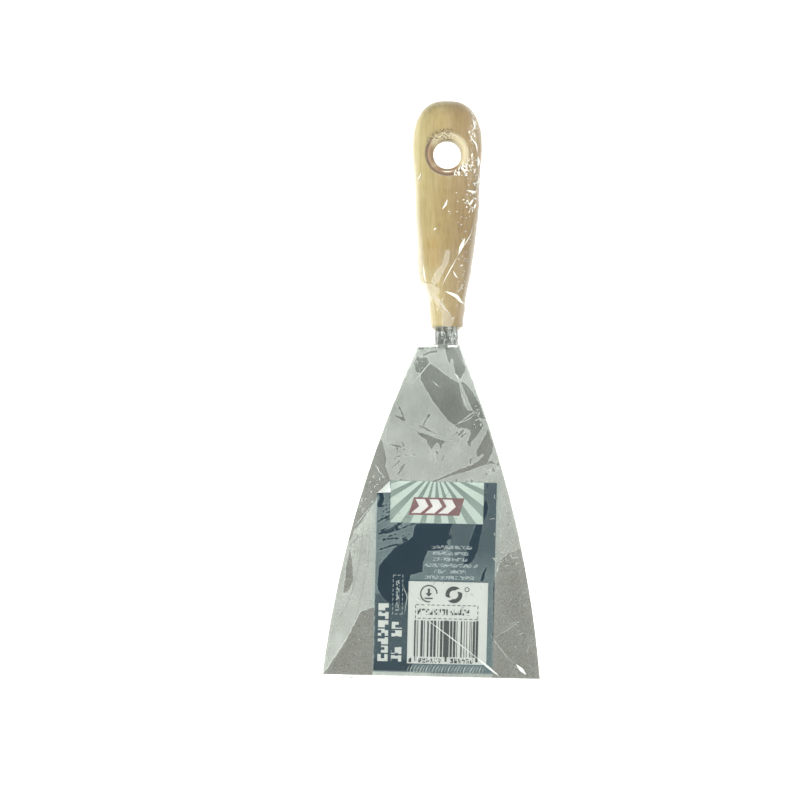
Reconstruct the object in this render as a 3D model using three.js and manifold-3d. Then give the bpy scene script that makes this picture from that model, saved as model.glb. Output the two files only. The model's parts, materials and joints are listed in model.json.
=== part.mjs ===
// A wooden-handled paint scraper, still in its clear shrink wrap, lying on its back.
// Millimetres, +Z up. The tool is drawn in its own straight frame first: X across the blade,
// Y from the cutting edge towards the handle's end, Z out of its front face, with the zero on
// the handle's axis at the end of the wood nearest the blade. The last section lays it down.
import * as THREE from "three";
import { mergeVertices } from "three/addons/utils/BufferGeometryUtils.js";
import Module from "manifold-3d";

const wasm = await Module();
wasm.setup();

// ---- Driving dimensions ----

const HANDLE_LENGTH = 82.2;
const BULB_AT = 64.2; // where the handle is widest, from its blade end
const BULB_HALF_WIDTH = 12.6;
const BULB_HALF_DEPTH = 8.8;
const HANDLE_HALF_WIDTHS = [
  [0, 5.65], [9.7, 6.7], [25.5, 9.2], [42.4, 11.4], [50.3, 11.6], [BULB_AT, BULB_HALF_WIDTH],
];
const HANDLE_HALF_DEPTHS = [[0, 5.6], [25.5, 7.4], [45.5, 8.3], [BULB_AT, BULB_HALF_DEPTH]];
const HANDLE_END_POWER = 2.5; // the end's outline is a superellipse of this power
const HANDLE_EDGE_EASE = 0.5; // chamfer around the wood's blade end

const HOLE_FROM_END = 19.8;
const HOLE_RADIUS = 5.1;
const HOLE_ROUNDOVER = 3.1;

const BLADE_LENGTH = 121.4;
const BLADE_EDGE_WIDTH = 80;
const BLADE_SHOULDER_WIDTH = 14.7;
const BLADE_SIDE_RADIUS = 400; // both long sides bow outwards on this radius
const BLADE_THICKNESS = 0.8;
const BLADE_FRONT = 1.6; // front face above the handle's axis
const BLADE_AT = new THREE.Vector2(-2.95, -7.5); // middle of the shoulder
const BLADE_TURN = THREE.MathUtils.degToRad(-1.3); // the blade sits slightly askew in the handle

const TANG_RADIUS = 4;
const TANG_SEAM = 0.6; // open seam along the back of the rolled tang
const TANG_BOTTOM = -6.9;
const TANG_TOP = 28;
const TANG_X = -0.2;
const TONGUE_WIDTH = 3.6; // the strip of sheet that joins the blade to the rolled tang
const TONGUE_X = -1.6;
const TONGUE_FRONT = 3.2;
const RELIEF_WIDTH = 0.4; // slots beside the tongue
const RELIEF_DEPTH = 1.2;

const LABEL_WIDTH = 43.8;
const LABEL_LENGTH = 70.5;
const LABEL_THICKNESS = 0.3;
const LABEL_FROM_EDGE = 1.5;
const LABEL_OFFSET = 0.5; // the card sits a little right of the blade's middle
const LABEL_FOLD = 4.6; // the folded-over corner's size along the card's edges

const CLEARANCE = 0.3; // between neighbouring pieces
const FILM_WALL = 0.35;
const FILM_OPENING_RADIUS = 9.2; // the wrap has burst open over the hanging hole

// ---- Solids ----

function solid(geometry) {
  const bare = geometry.clone();
  bare.deleteAttribute("normal");
  bare.deleteAttribute("uv");
  const merged = mergeVertices(bare, 1e-4);
  return new wasm.Manifold(new wasm.Mesh({
    numProp: 3,
    vertProperties: merged.attributes.position.array,
    triVerts: new Uint32Array(merged.index.array),
  }));
}

function geometryOf(shape) {
  const mesh = shape.getMesh();
  const geometry = new THREE.BufferGeometry();
  geometry.setAttribute("position", new THREE.BufferAttribute(mesh.vertProperties, 3));
  geometry.setIndex(new THREE.BufferAttribute(mesh.triVerts, 1));
  geometry.computeVertexNormals();
  return geometry;
}

// A superellipse's point at an angle: power 2 is an ellipse, and a high power is nearly a box.
// The rounding puts the seam's two ends on one point.
function superellipse(angle, halfWidth, halfDepth, power) {
  const across = Number(Math.cos(angle).toFixed(6));
  const up = Number(Math.sin(angle).toFixed(6));
  return {
    x: halfWidth * Math.sign(across) * Math.abs(across) ** (2 / power),
    z: halfDepth * Math.sign(up) * Math.abs(up) ** (2 / power),
  };
}

// A closed solid through a row of cross-sections, made by moving each ring of a plain cylinder.
// A section has its middle (x, y), its turn about Z, halfWidth, low and high, and its power.
function loft(sections, sides) {
  const geometry = new THREE.CylinderGeometry(1, 1, 1, sides, sections.length - 1);
  const position = geometry.attributes.position;
  const corner = new THREE.Vector3();
  for (let i = 0; i < position.count; i++) {
    corner.fromBufferAttribute(position, i);
    const section = sections[Math.round((corner.y + 0.5) * (sections.length - 1))];
    const reach = Math.min(1, Math.round(Math.hypot(corner.x, corner.z)));
    const halfDepth = (section.high - section.low) / 2;
    const point = superellipse(Math.atan2(corner.z, corner.x), section.halfWidth, halfDepth, section.power);
    const flat = halfDepth * 0.99; // the section's top and bottom are truly flat
    const height = THREE.MathUtils.clamp(point.z, -flat, flat) / 0.99;
    position.setXYZ(
      i,
      section.x + reach * point.x * Math.cos(section.turn),
      section.y + reach * point.x * Math.sin(section.turn),
      (section.high + section.low) / 2 + reach * height,
    );
  }
  return solid(geometry);
}

function profile(points) {
  const curve = new THREE.SplineCurve(points.map(([y, value]) => new THREE.Vector2(y, value)));
  const samples = curve.getPoints(200);
  return (y) => {
    const next = samples.findIndex((sample) => sample.x >= y);
    if (next <= 0) return samples[next === 0 ? 0 : samples.length - 1].y;
    const before = samples[next - 1];
    const after = samples[next];
    return THREE.MathUtils.mapLinear(y, before.x, after.x, before.y, after.y);
  };
}

// ---- Handle ----

const halfWidthAlong = profile(HANDLE_HALF_WIDTHS);
const halfDepthAlong = profile(HANDLE_HALF_DEPTHS);

// The handle's cross-section at y, grown outwards on every side. Its faces flatten towards the bulb.
function handleSection(y, grow) {
  const pastBulb = Math.max(0, (y - BULB_AT) / (HANDLE_LENGTH - BULB_AT + grow));
  const end = (1 - Math.min(1, pastBulb) ** HANDLE_END_POWER) ** (1 / HANDLE_END_POWER);
  const inBody = Math.min(Math.max(y, 0), BULB_AT);
  const halfDepth = (halfDepthAlong(inBody) + grow) * end;
  return {
    x: 0,
    y,
    turn: 0,
    halfWidth: (halfWidthAlong(inBody) + grow) * end,
    low: -halfDepth,
    high: halfDepth,
    power: THREE.MathUtils.mapLinear(inBody, 0, BULB_AT, 2.1, 3),
  };
}

// Stations along the handle: even up to the bulb, then closing up towards the rounded end.
function handleStations(grow) {
  const body = [0.5, 5, 10, 18, 26, 34, 43, 51, 58];
  const end = [0, 0.25, 0.45, 0.62, 0.76, 0.87, 0.94, 0.98, 0.997];
  return body.concat(end.map((share) => BULB_AT + share * (HANDLE_LENGTH - BULB_AT + grow)));
}

function makeHandle() {
  const blunt = { ...handleSection(0, -HANDLE_EDGE_EASE), y: 0 };
  const wood = loft([blunt, ...handleStations(0).map((y) => handleSection(y, 0))], 32);
  const faceAt = BULB_HALF_DEPTH - HOLE_ROUNDOVER;
  const beyond = BULB_HALF_DEPTH * 2;
  const cutter = [new THREE.Vector2(0, -beyond), new THREE.Vector2(HOLE_RADIUS + HOLE_ROUNDOVER, -beyond)];
  for (const side of [-1, 1]) {
    for (let step = 0; step <= 4; step++) {
      const angle = (Math.PI / 2) * (side < 0 ? 1 - step / 4 : step / 4);
      const outwards = HOLE_ROUNDOVER * (1 - Math.cos(angle));
      const height = side * (faceAt + HOLE_ROUNDOVER * Math.sin(angle));
      cutter.push(new THREE.Vector2(HOLE_RADIUS + outwards, height));
    }
  }
  cutter.push(new THREE.Vector2(HOLE_RADIUS + HOLE_ROUNDOVER, beyond), new THREE.Vector2(0, beyond));
  const hole = new THREE.LatheGeometry(cutter, 28);
  hole.rotateX(Math.PI / 2);
  hole.translate(0, HANDLE_LENGTH - HOLE_FROM_END, 0);
  const boreRadius = TANG_RADIUS + CLEARANCE;
  const boreDepth = TANG_TOP + CLEARANCE;
  const bore = new THREE.CylinderGeometry(boreRadius, boreRadius, 2 * boreDepth, 24);
  bore.translate(TANG_X, 0, 0);
  return wood.subtract(solid(hole)).subtract(solid(bore));
}

// ---- Blade with its rolled tang, one piece of sheet steel ----

// The circle that a side of the blade follows, in the blade's own frame (s down from the shoulder).
function sideCircle() {
  const top = new THREE.Vector2(BLADE_SHOULDER_WIDTH / 2, 0);
  const bottom = new THREE.Vector2(BLADE_EDGE_WIDTH / 2, BLADE_LENGTH);
  const along = bottom.clone().sub(top);
  const half = along.length() / 2;
  const inwards = new THREE.Vector2(-along.y, along.x).normalize();
  const centre = top.clone().add(bottom).multiplyScalar(0.5);
  return centre.addScaledVector(inwards, Math.sqrt(BLADE_SIDE_RADIUS ** 2 - half ** 2));
}

const sideCentre = sideCircle();

function bladeHalfWidth(down) {
  return sideCentre.x + Math.sqrt(BLADE_SIDE_RADIUS ** 2 - (down - sideCentre.y) ** 2);
}

function makePlate() {
  const steps = 20;
  const right = [];
  for (let step = 0; step <= steps; step++) {
    const down = (BLADE_LENGTH * step) / steps;
    right.push(new THREE.Vector2(bladeHalfWidth(down), -down));
  }
  const left = right.map((point) => new THREE.Vector2(-point.x, point.y)).reverse();
  const plate = new THREE.ExtrudeGeometry(new THREE.Shape([...right, ...left]), {
    depth: BLADE_THICKNESS,
    bevelEnabled: false,
  });
  plate.rotateZ(BLADE_TURN);
  plate.translate(BLADE_AT.x, BLADE_AT.y, BLADE_FRONT - BLADE_THICKNESS);
  return solid(plate);
}

function makeTang() {
  const seamAngle = TANG_SEAM / 2 / TANG_RADIUS;
  const start = -Math.PI / 2 + seamAngle;
  const finish = (Math.PI * 3) / 2 - seamAngle;
  const section = new THREE.Shape();
  section.absarc(0, 0, TANG_RADIUS, start, finish, false);
  section.absarc(0, 0, TANG_RADIUS - BLADE_THICKNESS, finish, start, true);
  const tube = new THREE.ExtrudeGeometry(section, {
    depth: TANG_TOP - TANG_BOTTOM,
    curveSegments: 24,
    bevelEnabled: false,
  });
  tube.rotateX(Math.PI / 2);
  tube.translate(TANG_X, TANG_TOP, 0);
  return solid(tube);
}

// The tongue steps down from the tang's front wall to the plate. Its side view is drawn as (-z, y).
function makeTongue() {
  const slotEnd = BLADE_AT.y - RELIEF_DEPTH;
  const path = [
    [TANG_BOTTOM + 0.6, TONGUE_FRONT],
    [TANG_BOTTOM, TONGUE_FRONT],
    [slotEnd - 0.2, BLADE_FRONT],
    [slotEnd - 1.2, BLADE_FRONT],
  ];
  const front = path.map(([y, z]) => new THREE.Vector2(-z, y));
  const back = path.map(([y, z]) => new THREE.Vector2(BLADE_THICKNESS - z, y)).reverse();
  const tongue = new THREE.ExtrudeGeometry(new THREE.Shape([...front, ...back]), {
    depth: TONGUE_WIDTH,
    bevelEnabled: false,
  });
  tongue.rotateY(Math.PI / 2);
  tongue.translate(TONGUE_X - TONGUE_WIDTH / 2, 0, 0);
  return solid(tongue);
}

function makeBlade() {
  const relief = new THREE.BoxGeometry(TONGUE_WIDTH + 2 * RELIEF_WIDTH, 2 * RELIEF_DEPTH, 6);
  relief.translate(TONGUE_X, BLADE_AT.y, BLADE_FRONT);
  return makePlate().subtract(solid(relief)).add(makeTongue()).add(makeTang());
}

// ---- Label card ----

function makeLabel() {
  const half = LABEL_WIDTH / 2;
  const bottom = -(BLADE_LENGTH - LABEL_FROM_EDGE);
  const top = bottom + LABEL_LENGTH;
  const outline = [
    [-half, bottom],
    [half, bottom],
    [half, top],
    [-half + LABEL_FOLD, top],
    [-half, top - LABEL_FOLD],
  ];
  const card = new THREE.ExtrudeGeometry(
    new THREE.Shape(outline.map(([x, y]) => new THREE.Vector2(x + LABEL_OFFSET, y))),
    { depth: LABEL_THICKNESS, bevelEnabled: false },
  );
  card.rotateZ(BLADE_TURN);
  card.translate(BLADE_AT.x, BLADE_AT.y, BLADE_FRONT + CLEARANCE);
  return solid(card);
}

// ---- Shrink wrap ----

const BLADE_POWER = 8; // nearly square-edged, as film pulled over a flat blade is
const filmFront = BLADE_FRONT + LABEL_THICKNESS + 2 * CLEARANCE;
const filmBack = BLADE_FRONT - BLADE_THICKNESS - CLEARANCE;
const TENT_LENGTH = 26; // the film slopes from the tang down to the blade over this length

// The wrap's cross-section over the blade, square to the blade's own axis.
function bladeFilmSection(down) {
  const tent = 1 - Math.min(1, Math.max(0, down) / TENT_LENGTH);
  return {
    x: BLADE_AT.x + down * Math.sin(BLADE_TURN),
    y: BLADE_AT.y - down * Math.cos(BLADE_TURN),
    turn: BLADE_TURN,
    halfWidth: bladeHalfWidth(Math.min(down, BLADE_LENGTH)) + 2 * CLEARANCE,
    low: THREE.MathUtils.lerp(filmBack, -TANG_RADIUS - CLEARANCE, tent),
    high: THREE.MathUtils.lerp(filmFront, TANG_RADIUS + CLEARANCE, tent),
    power: THREE.MathUtils.lerp(BLADE_POWER, 3, tent),
  };
}

function neckFilmSection(y, radius) {
  return { x: TANG_X, y, turn: 0, halfWidth: radius, low: -radius, high: radius, power: 2.1 };
}

// Every section of the wrap's inner face, from past the cutting edge to past the handle's end.
function filmSections() {
  const down = [BLADE_LENGTH + CLEARANCE, 109, 96, 83, 70, 58, 46, 36, TENT_LENGTH, 18, 11, 5, -CLEARANCE];
  const neck = [
    neckFilmSection(TANG_BOTTOM + 1, TANG_RADIUS + 2 * CLEARANCE),
    neckFilmSection(-2.2, TANG_RADIUS + 2 * CLEARANCE),
    { ...handleSection(0, CLEARANCE), y: -CLEARANCE },
  ];
  const handle = handleStations(CLEARANCE).map((y) => handleSection(y, CLEARANCE));
  return [...down.map(bladeFilmSection), ...neck, ...handle];
}

// The wrap's outer face is its inner one with a wall added on every side and at both ends.
function grown(section, index, all) {
  const end = index === 0 ? -1 : Number(index === all.length - 1);
  return {
    ...section,
    x: section.x - end * FILM_WALL * Math.sin(section.turn),
    y: section.y + end * FILM_WALL * Math.cos(section.turn),
    halfWidth: section.halfWidth + FILM_WALL,
    low: section.low - FILM_WALL,
    high: section.high + FILM_WALL,
  };
}

function makeFilm() {
  const inner = filmSections();
  const through = 4 * BULB_HALF_DEPTH;
  const opening = new THREE.CylinderGeometry(FILM_OPENING_RADIUS, FILM_OPENING_RADIUS, through, 24);
  opening.rotateX(Math.PI / 2);
  opening.translate(0, HANDLE_LENGTH - HOLE_FROM_END, 0);
  return loft(inner.map(grown), 32).subtract(loft(inner, 32)).subtract(solid(opening));
}

// ---- The tool, laid on its back ----

const FINISHES = {
  handle: { color: 0xccb684, roughness: 0.45, metalness: 0 },
  blade: { color: 0x9c9a94, roughness: 0.38, metalness: 1 },
  label_card: { color: 0x2a3c4e, roughness: 0.5, metalness: 0 },
  shrink_film: { color: 0xe6ece8, roughness: 0.12, metalness: 0, transparent: true, opacity: 0.3 },
};

const tool = new THREE.Group();
for (const [name, shape] of Object.entries({
  handle: makeHandle(),
  blade: makeBlade(),
  label_card: makeLabel(),
  shrink_film: makeFilm(),
})) {
  const mesh = new THREE.Mesh(geometryOf(shape), new THREE.MeshStandardMaterial(FINISHES[name]));
  mesh.name = name;
  tool.add(mesh);
}

// How much lower the wrap's handle half reaches than its blade half, once tipped by an angle.
function handleReach(film, angle) {
  const lowest = { handle: Infinity, blade: Infinity };
  const position = film.geometry.attributes.position;
  const point = new THREE.Vector3();
  const tip = new THREE.Matrix4().makeRotationX(angle);
  for (let i = 0; i < position.count; i++) {
    const half = position.getY(i) > 0 ? "handle" : "blade";
    point.fromBufferAttribute(position, i).applyMatrix4(tip);
    lowest[half] = Math.min(lowest[half], point.z);
  }
  return lowest.blade - lowest.handle;
}

// The wrap touches the table under the bulb and along the cutting edge: bisect for that tip.
function restTip(film) {
  let level = 0;
  let steep = THREE.MathUtils.degToRad(10);
  for (let i = 0; i < 40; i++) {
    const middle = (level + steep) / 2;
    if (handleReach(film, middle) > 0) level = middle;
    else steep = middle;
  }
  return level;
}

const film = tool.getObjectByName("shrink_film");
tool.rotation.x = restTip(film);

const scraper = new THREE.Group();
scraper.add(tool);
const box = new THREE.Box3().setFromObject(tool, true);
const middle = box.getCenter(new THREE.Vector3());
tool.position.set(-middle.x, -middle.y, -box.min.z);

export default scraper;
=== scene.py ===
"""A wooden-handled paint scraper in clear shrink wrap, lying on its back on a white table.

The pieces are drawn in the tool's own straight frame, in millimetres: x across, y from the cutting
edge towards the handle's end, z out of the front face, with the zero on the handle's axis at the
wood's blade end. The blade has a frame of its own: u across it and v down from its shoulder.
"""
import functools
import json
import math
import random

import bmesh
import bpy
import numpy as np
from mathutils import Matrix, Vector, noise


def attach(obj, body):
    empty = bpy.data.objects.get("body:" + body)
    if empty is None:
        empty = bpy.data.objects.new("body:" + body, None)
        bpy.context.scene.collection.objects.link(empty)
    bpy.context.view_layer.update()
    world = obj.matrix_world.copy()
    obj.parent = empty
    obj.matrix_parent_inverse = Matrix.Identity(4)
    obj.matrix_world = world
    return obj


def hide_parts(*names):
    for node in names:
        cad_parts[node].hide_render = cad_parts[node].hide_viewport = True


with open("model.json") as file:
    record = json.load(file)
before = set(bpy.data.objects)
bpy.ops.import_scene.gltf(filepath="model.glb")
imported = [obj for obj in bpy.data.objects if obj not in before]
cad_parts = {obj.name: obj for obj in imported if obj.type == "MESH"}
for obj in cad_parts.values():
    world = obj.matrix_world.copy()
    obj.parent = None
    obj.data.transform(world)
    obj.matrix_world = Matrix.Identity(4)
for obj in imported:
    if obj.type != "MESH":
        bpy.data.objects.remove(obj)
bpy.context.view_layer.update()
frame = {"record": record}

# ---- Driving dimensions, in millimetres, as in the CAD model ----

HANDLE_LENGTH = 82.2
BULB_AT = 64.2
BULB_HALF_WIDTH = 12.6
BULB_HALF_DEPTH = 8.8
HALF_WIDTHS = [(0, 5.65), (9.7, 6.7), (25.5, 9.2), (42.4, 11.4), (50.3, 11.6), (BULB_AT, BULB_HALF_WIDTH)]
HALF_DEPTHS = [(0, 5.6), (25.5, 7.4), (45.5, 8.3), (BULB_AT, BULB_HALF_DEPTH)]
END_POWER = 2.5
EDGE_EASE = 0.5
HOLE_AT = HANDLE_LENGTH - 19.8
HOLE_RADIUS = 5.1
HOLE_ROUNDOVER = 3.1

BLADE_LENGTH = 121.4
EDGE_WIDTH = 80
SHOULDER_WIDTH = 14.7
SIDE_RADIUS = 400
STEEL = 0.8
BLADE_FRONT = 1.6
BLADE_AT = (-2.95, -7.5)
BLADE_TURN = math.radians(-1.3)
STEEL_EASE = 0.12  # rounding of the sheet's edges

TANG_RADIUS = 4
TANG_SEAM = 0.6
TANG_BOTTOM = -6.9
TANG_TOP = 28
TANG_X = -0.2
TANG_EASE = 0.15
TANG_CHAMFER = 0.5
TONGUE_WIDTH = 3.6
TONGUE_X = -1.6
TONGUE_FRONT = 3.2
TONGUE_CROWN = 0.35  # how far its middle rises above its sides where it leaves the tang
TONGUE_FLARE = 0.55  # how much wider it gets on each side where it meets the plate
RELIEF_WIDTH = 0.4
RELIEF_DEPTH = 1.2

LABEL_WIDTH = 43.8
LABEL_LENGTH = 70.5
LABEL_THICKNESS = 0.3
LABEL_FROM_EDGE = 1.5
LABEL_OFFSET = 0.5
LABEL_FOLD = 4.6
LABEL_TOP = BLADE_LENGTH - LABEL_FROM_EDGE - LABEL_LENGTH
LABEL_BACK = BLADE_FRONT + 0.1

FILM_GAP = 0.15  # between the film and what it clings to
FILM_OPENING = 7.9  # radius where the film has drawn back from the hanging hole
TENT_LENGTH = 26

# ---- From the tool's frame to the row's: the rest face's mount says how the tool lies ----

REST_DOWN = 90  # the mount's place down the blade's axis
REST_HEIGHT = 0.15
rest_face = frame["record"]["mounts"][0]
tip = Matrix.Rotation(math.asin(rest_face["axis"][1]), 4, "X")
rest_point = Vector((
    BLADE_AT[0] + REST_DOWN * math.sin(BLADE_TURN),
    BLADE_AT[1] - REST_DOWN * math.cos(BLADE_TURN),
    REST_HEIGHT,
))
tool_origin = Vector(rest_face["pos_m"]) - (tip @ rest_point) / 1000
TO_ROW = Matrix.Translation(tool_origin) @ tip @ Matrix.Scale(0.001, 4)


def to_row(points):
    """Tool millimetres to row metres, for an array of points."""
    matrix = np.array(TO_ROW)
    return np.asarray(points, float) @ matrix[:3, :3].T + matrix[:3, 3]


def blade_to_tool(u, v, z):
    """Blade coordinates to the tool's frame."""
    x = BLADE_AT[0] + u * math.cos(BLADE_TURN) + v * math.sin(BLADE_TURN)
    y = BLADE_AT[1] + u * math.sin(BLADE_TURN) - v * math.cos(BLADE_TURN)
    return np.stack(np.broadcast_arrays(x, y, z), -1).astype(float)


# ---- Camera ----

CAMERA_LEFT = 17.2  # of the handle's axis
CAMERA_DOWN = 27.0  # from the wood's blade end towards the blade
CAMERA_HEIGHT = 1.1
FRAME_WIDTH = 0.2947  # what the picture spans on the table

camera = bpy.data.objects.new("camera", bpy.data.cameras.new("camera"))
bpy.context.collection.objects.link(camera)
camera.location = (tool_origin.x - CAMERA_LEFT / 1000, tool_origin.y - CAMERA_DOWN / 1000, CAMERA_HEIGHT)
camera.data.sensor_width = 36
camera.data.lens = camera.data.sensor_width * CAMERA_HEIGHT / FRAME_WIDTH
bpy.context.scene.camera = camera

# ---- Shader helpers ----


class Wire:
    """A shader number. Arithmetic on it adds Math nodes, < and > make 0 or 1, & is and, | is or."""

    def __init__(self, tree, socket):
        self.tree = tree
        self.socket = socket

    def math(self, operation, *others):
        node = self.tree.nodes.new("ShaderNodeMath")
        node.operation = operation
        for socket, value in zip(node.inputs, (self, *others)):
            feed(self.tree, socket, value)
        return Wire(self.tree, node.outputs[0])

    def __abs__(self):
        return self.math("ABSOLUTE")

    def ramp(self, low, high, start=0.0, finish=1.0):
        """start below low, finish above high, and a smooth step between."""
        node = self.tree.nodes.new("ShaderNodeMapRange")
        node.interpolation_type = "SMOOTHSTEP"
        for socket, value in zip(node.inputs, (self, low, high, start, finish)):
            feed(self.tree, socket, value)
        return Wire(self.tree, node.outputs[0])


OPERATIONS = {
    "__add__": "ADD", "__sub__": "SUBTRACT", "__mul__": "MULTIPLY", "__lt__": "LESS_THAN",
    "__gt__": "GREATER_THAN", "__and__": "MINIMUM", "__or__": "MAXIMUM",
}
for method, operation in OPERATIONS.items():
    setattr(Wire, method, functools.partialmethod(Wire.math, operation))


def feed(tree, socket, value):
    """Links a wire or an output to a socket, or sets a plain value on it."""
    if isinstance(value, Wire):
        tree.links.new(value.socket, socket)
    elif isinstance(value, bpy.types.NodeSocket):
        tree.links.new(value, socket)
    elif isinstance(value, tuple) and len(value) == 3 and socket.type == "RGBA":
        socket.default_value = (*value, 1)
    else:
        socket.default_value = value


def add_node(tree, kind, **inputs):
    """A node with some of its inputs fed. An input's name has underscores for spaces."""
    node = tree.nodes.new(kind)
    for name, value in inputs.items():
        feed(tree, node.inputs[name.replace("_", " ")], value)
    return node


def new_material(name):
    """A material with an empty node tree and its output node."""
    made = bpy.data.materials.new(name)
    made.use_nodes = True
    made.node_tree.nodes.clear()
    output = made.node_tree.nodes.new("ShaderNodeOutputMaterial")
    return made, made.node_tree, output.inputs["Surface"]


def position_mm(tree):
    """The point's place in the row frame, in millimetres, as three wires."""
    coordinates = tree.nodes.new("ShaderNodeTexCoord")
    split = add_node(tree, "ShaderNodeSeparateXYZ", Vector=coordinates.outputs["Object"])
    return [Wire(tree, split.outputs[axis]) * 1000 for axis in range(3)]


def stretched(tree, per_mm, seed):
    """A texture's place, scaled to so many features per millimetre on each axis and moved by a seed."""
    coordinates = tree.nodes.new("ShaderNodeTexCoord")
    mapping = add_node(tree, "ShaderNodeMapping", Vector=coordinates.outputs["Object"])
    mapping.inputs["Scale"].default_value = [1000 * value for value in per_mm]
    mapping.inputs["Location"].default_value = (seed, seed * 0.7, seed * 1.3)
    return mapping.outputs[0]


def grain(tree, per_mm, detail=3, seed=0.0, roughness=0.5):
    """Noise from 0 to 1 with its own number of features per millimetre on each axis."""
    texture = add_node(
        tree, "ShaderNodeTexNoise", Vector=stretched(tree, per_mm, seed),
        Scale=1.0, Detail=detail, Roughness=roughness,
    )
    return Wire(tree, texture.outputs["Fac"])


def shards(tree, per_mm, seed):
    """A number from 0 to 1 that is the same all over each small angular cell."""
    cells = add_node(tree, "ShaderNodeTexVoronoi", Vector=stretched(tree, per_mm, seed), Scale=1.0)
    split = add_node(tree, "ShaderNodeSeparateXYZ", Vector=cells.outputs["Color"])
    return Wire(tree, split.outputs[0])


def number_attribute(tree, name):
    """A number that the mesh carries at each point."""
    node = tree.nodes.new("ShaderNodeAttribute")
    node.attribute_name = name
    return Wire(tree, node.outputs["Fac"])


def blend(tree, factor, first, second, way="MIX"):
    """A colour between two colours, or the first multiplied by the second."""
    node = tree.nodes.new("ShaderNodeMix")
    node.data_type = "RGBA"
    node.blend_type = way
    feed(tree, node.inputs[0], factor)
    feed(tree, node.inputs[6], first)
    feed(tree, node.inputs[7], second)
    return node.outputs[2]


def mix_shaders(tree, factor, first, second):
    """A share of one shader over another."""
    node = add_node(tree, "ShaderNodeMixShader", Fac=factor)
    tree.links.new(first.outputs[0], node.inputs[1])
    tree.links.new(second.outputs[0], node.inputs[2])
    return node


def bump(tree, height, millimetres, strength):
    """A normal roughened by a height that runs from 0 to 1 over so many millimetres."""
    node = add_node(tree, "ShaderNodeBump", Strength=strength, Distance=millimetres / 1000, Height=height)
    return node.outputs["Normal"]


# ---- Mesh helpers ----


def mesh_object(name, points, faces, numbers=None):
    """An object from tool-frame points, faces as index lists, and number attributes per point."""
    mesh = bpy.data.meshes.new(name)
    mesh.from_pydata(to_row(points).tolist(), [], faces)
    for key, values in (numbers or {}).items():
        attribute = mesh.attributes.new(key, "FLOAT", "POINT")
        attribute.data.foreach_set("value", np.asarray(values, np.float32))
    made = bpy.data.objects.new(name, mesh)
    bpy.context.collection.objects.link(made)
    return made


def closed_object(name, points, faces, numbers=None):
    """An object whose closed mesh has every face turned to face out of it."""
    made = mesh_object(name, points, faces, numbers)
    work = bmesh.new()
    work.from_mesh(made.data)
    bmesh.ops.remove_doubles(work, verts=work.verts, dist=1e-7)
    bmesh.ops.recalc_face_normals(work, faces=work.faces)
    work.to_mesh(made.data)
    work.free()
    return made


def smooth(made, degrees):
    """Smooth shading with the edges sharper than an angle left crisp."""
    made.data.shade_smooth()
    made.data.set_sharp_from_angle(angle=math.radians(degrees))


def finish_piece(made, shader, node):
    """Gives a piece its material, and stands it in for its CAD node."""
    made.data.materials.clear()
    made.data.materials.append(shader)
    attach(made, "root")
    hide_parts(node)


def cut(made, tool, operation="DIFFERENCE"):
    """Applies a boolean with another object, which is then removed."""
    modifier = made.modifiers.new("cut", "BOOLEAN")
    modifier.operation = operation
    modifier.object = tool
    modifier.solver = "EXACT"
    bpy.context.view_layer.update()
    result = bpy.data.meshes.new_from_object(made.evaluated_get(bpy.context.evaluated_depsgraph_get()))
    made.modifiers.clear()
    made.data = result
    bpy.data.objects.remove(tool)


def ring_faces(rings, sides):
    """Quads between closed rings of points that follow one another."""
    faces = []
    for ring in range(rings - 1):
        for side in range(sides):
            following = (side + 1) % sides
            base = ring * sides
            faces.append([base + side, base + following, base + sides + following, base + sides + side])
    return faces


def tube_faces(rings, sides):
    """Quads between the rings, and a flat face over each end."""
    last = (rings - 1) * sides
    return ring_faces(rings, sides) + [list(range(sides))[::-1], list(range(last, last + sides))]


def rim_faces(rim, offset):
    """Quads that join a closed rim to its copy further down the list of points."""
    following = rim[1:] + rim[:1]
    return [[first, second, second + offset, first + offset] for first, second in zip(rim, following)]


def shifted(faces, start):
    """The same faces for points that come later in the list."""
    return [[start + index for index in face] for face in faces]


def grid_faces(rows, columns):
    """Quads of an open grid of points, row by row."""
    corners = [row * columns + column for row in range(rows - 1) for column in range(columns - 1)]
    return [[at, at + 1, at + columns + 1, at + columns] for at in corners]


def thicken(upper, faces, rim, thickness):
    """A closed sheet from its upper points, their faces and the rim that goes round them."""
    count = len(upper)
    points = upper + [(a, b, height - thickness) for a, b, height in upper]
    lower_faces = [face[::-1] for face in shifted(faces, count)]
    return points, faces + lower_faces + rim_faces(rim, count)


def profile(points):
    """A smooth curve through points, as a function of their first number."""
    knots = np.array([points[0], *points, points[-1]], float)
    samples = []
    for before, start, finish, after in zip(knots, knots[1:], knots[2:], knots[3:]):
        leave = (finish - before) / 2
        arrive = (after - start) / 2
        for t in np.linspace(0, 1, 40, endpoint=False):
            bend = (2 * start - 2 * finish + leave + arrive) * t**3
            turn = (-3 * start + 3 * finish - 2 * leave - arrive) * t**2
            samples.append(bend + turn + leave * t + start)
    samples.append(knots[-1])
    places, values = np.transpose(samples)
    return lambda place: np.interp(place, places, values)


def soft_step(value, low, high):
    """0 below low, 1 above high, and a smooth step between."""
    share = np.clip((value - low) / (high - low), 0, 1)
    return share * share * (3 - 2 * share)


def segment_distance(points, start, along):
    """Distance from each 2-D point to the nearest of the segments that run from start."""
    offset = points[:, None, :] - start
    share = np.clip((offset * along).sum(-1) / (along**2).sum(-1), 0, 1)
    return np.linalg.norm(offset - share[..., None] * along, axis=-1).min(1)


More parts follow.
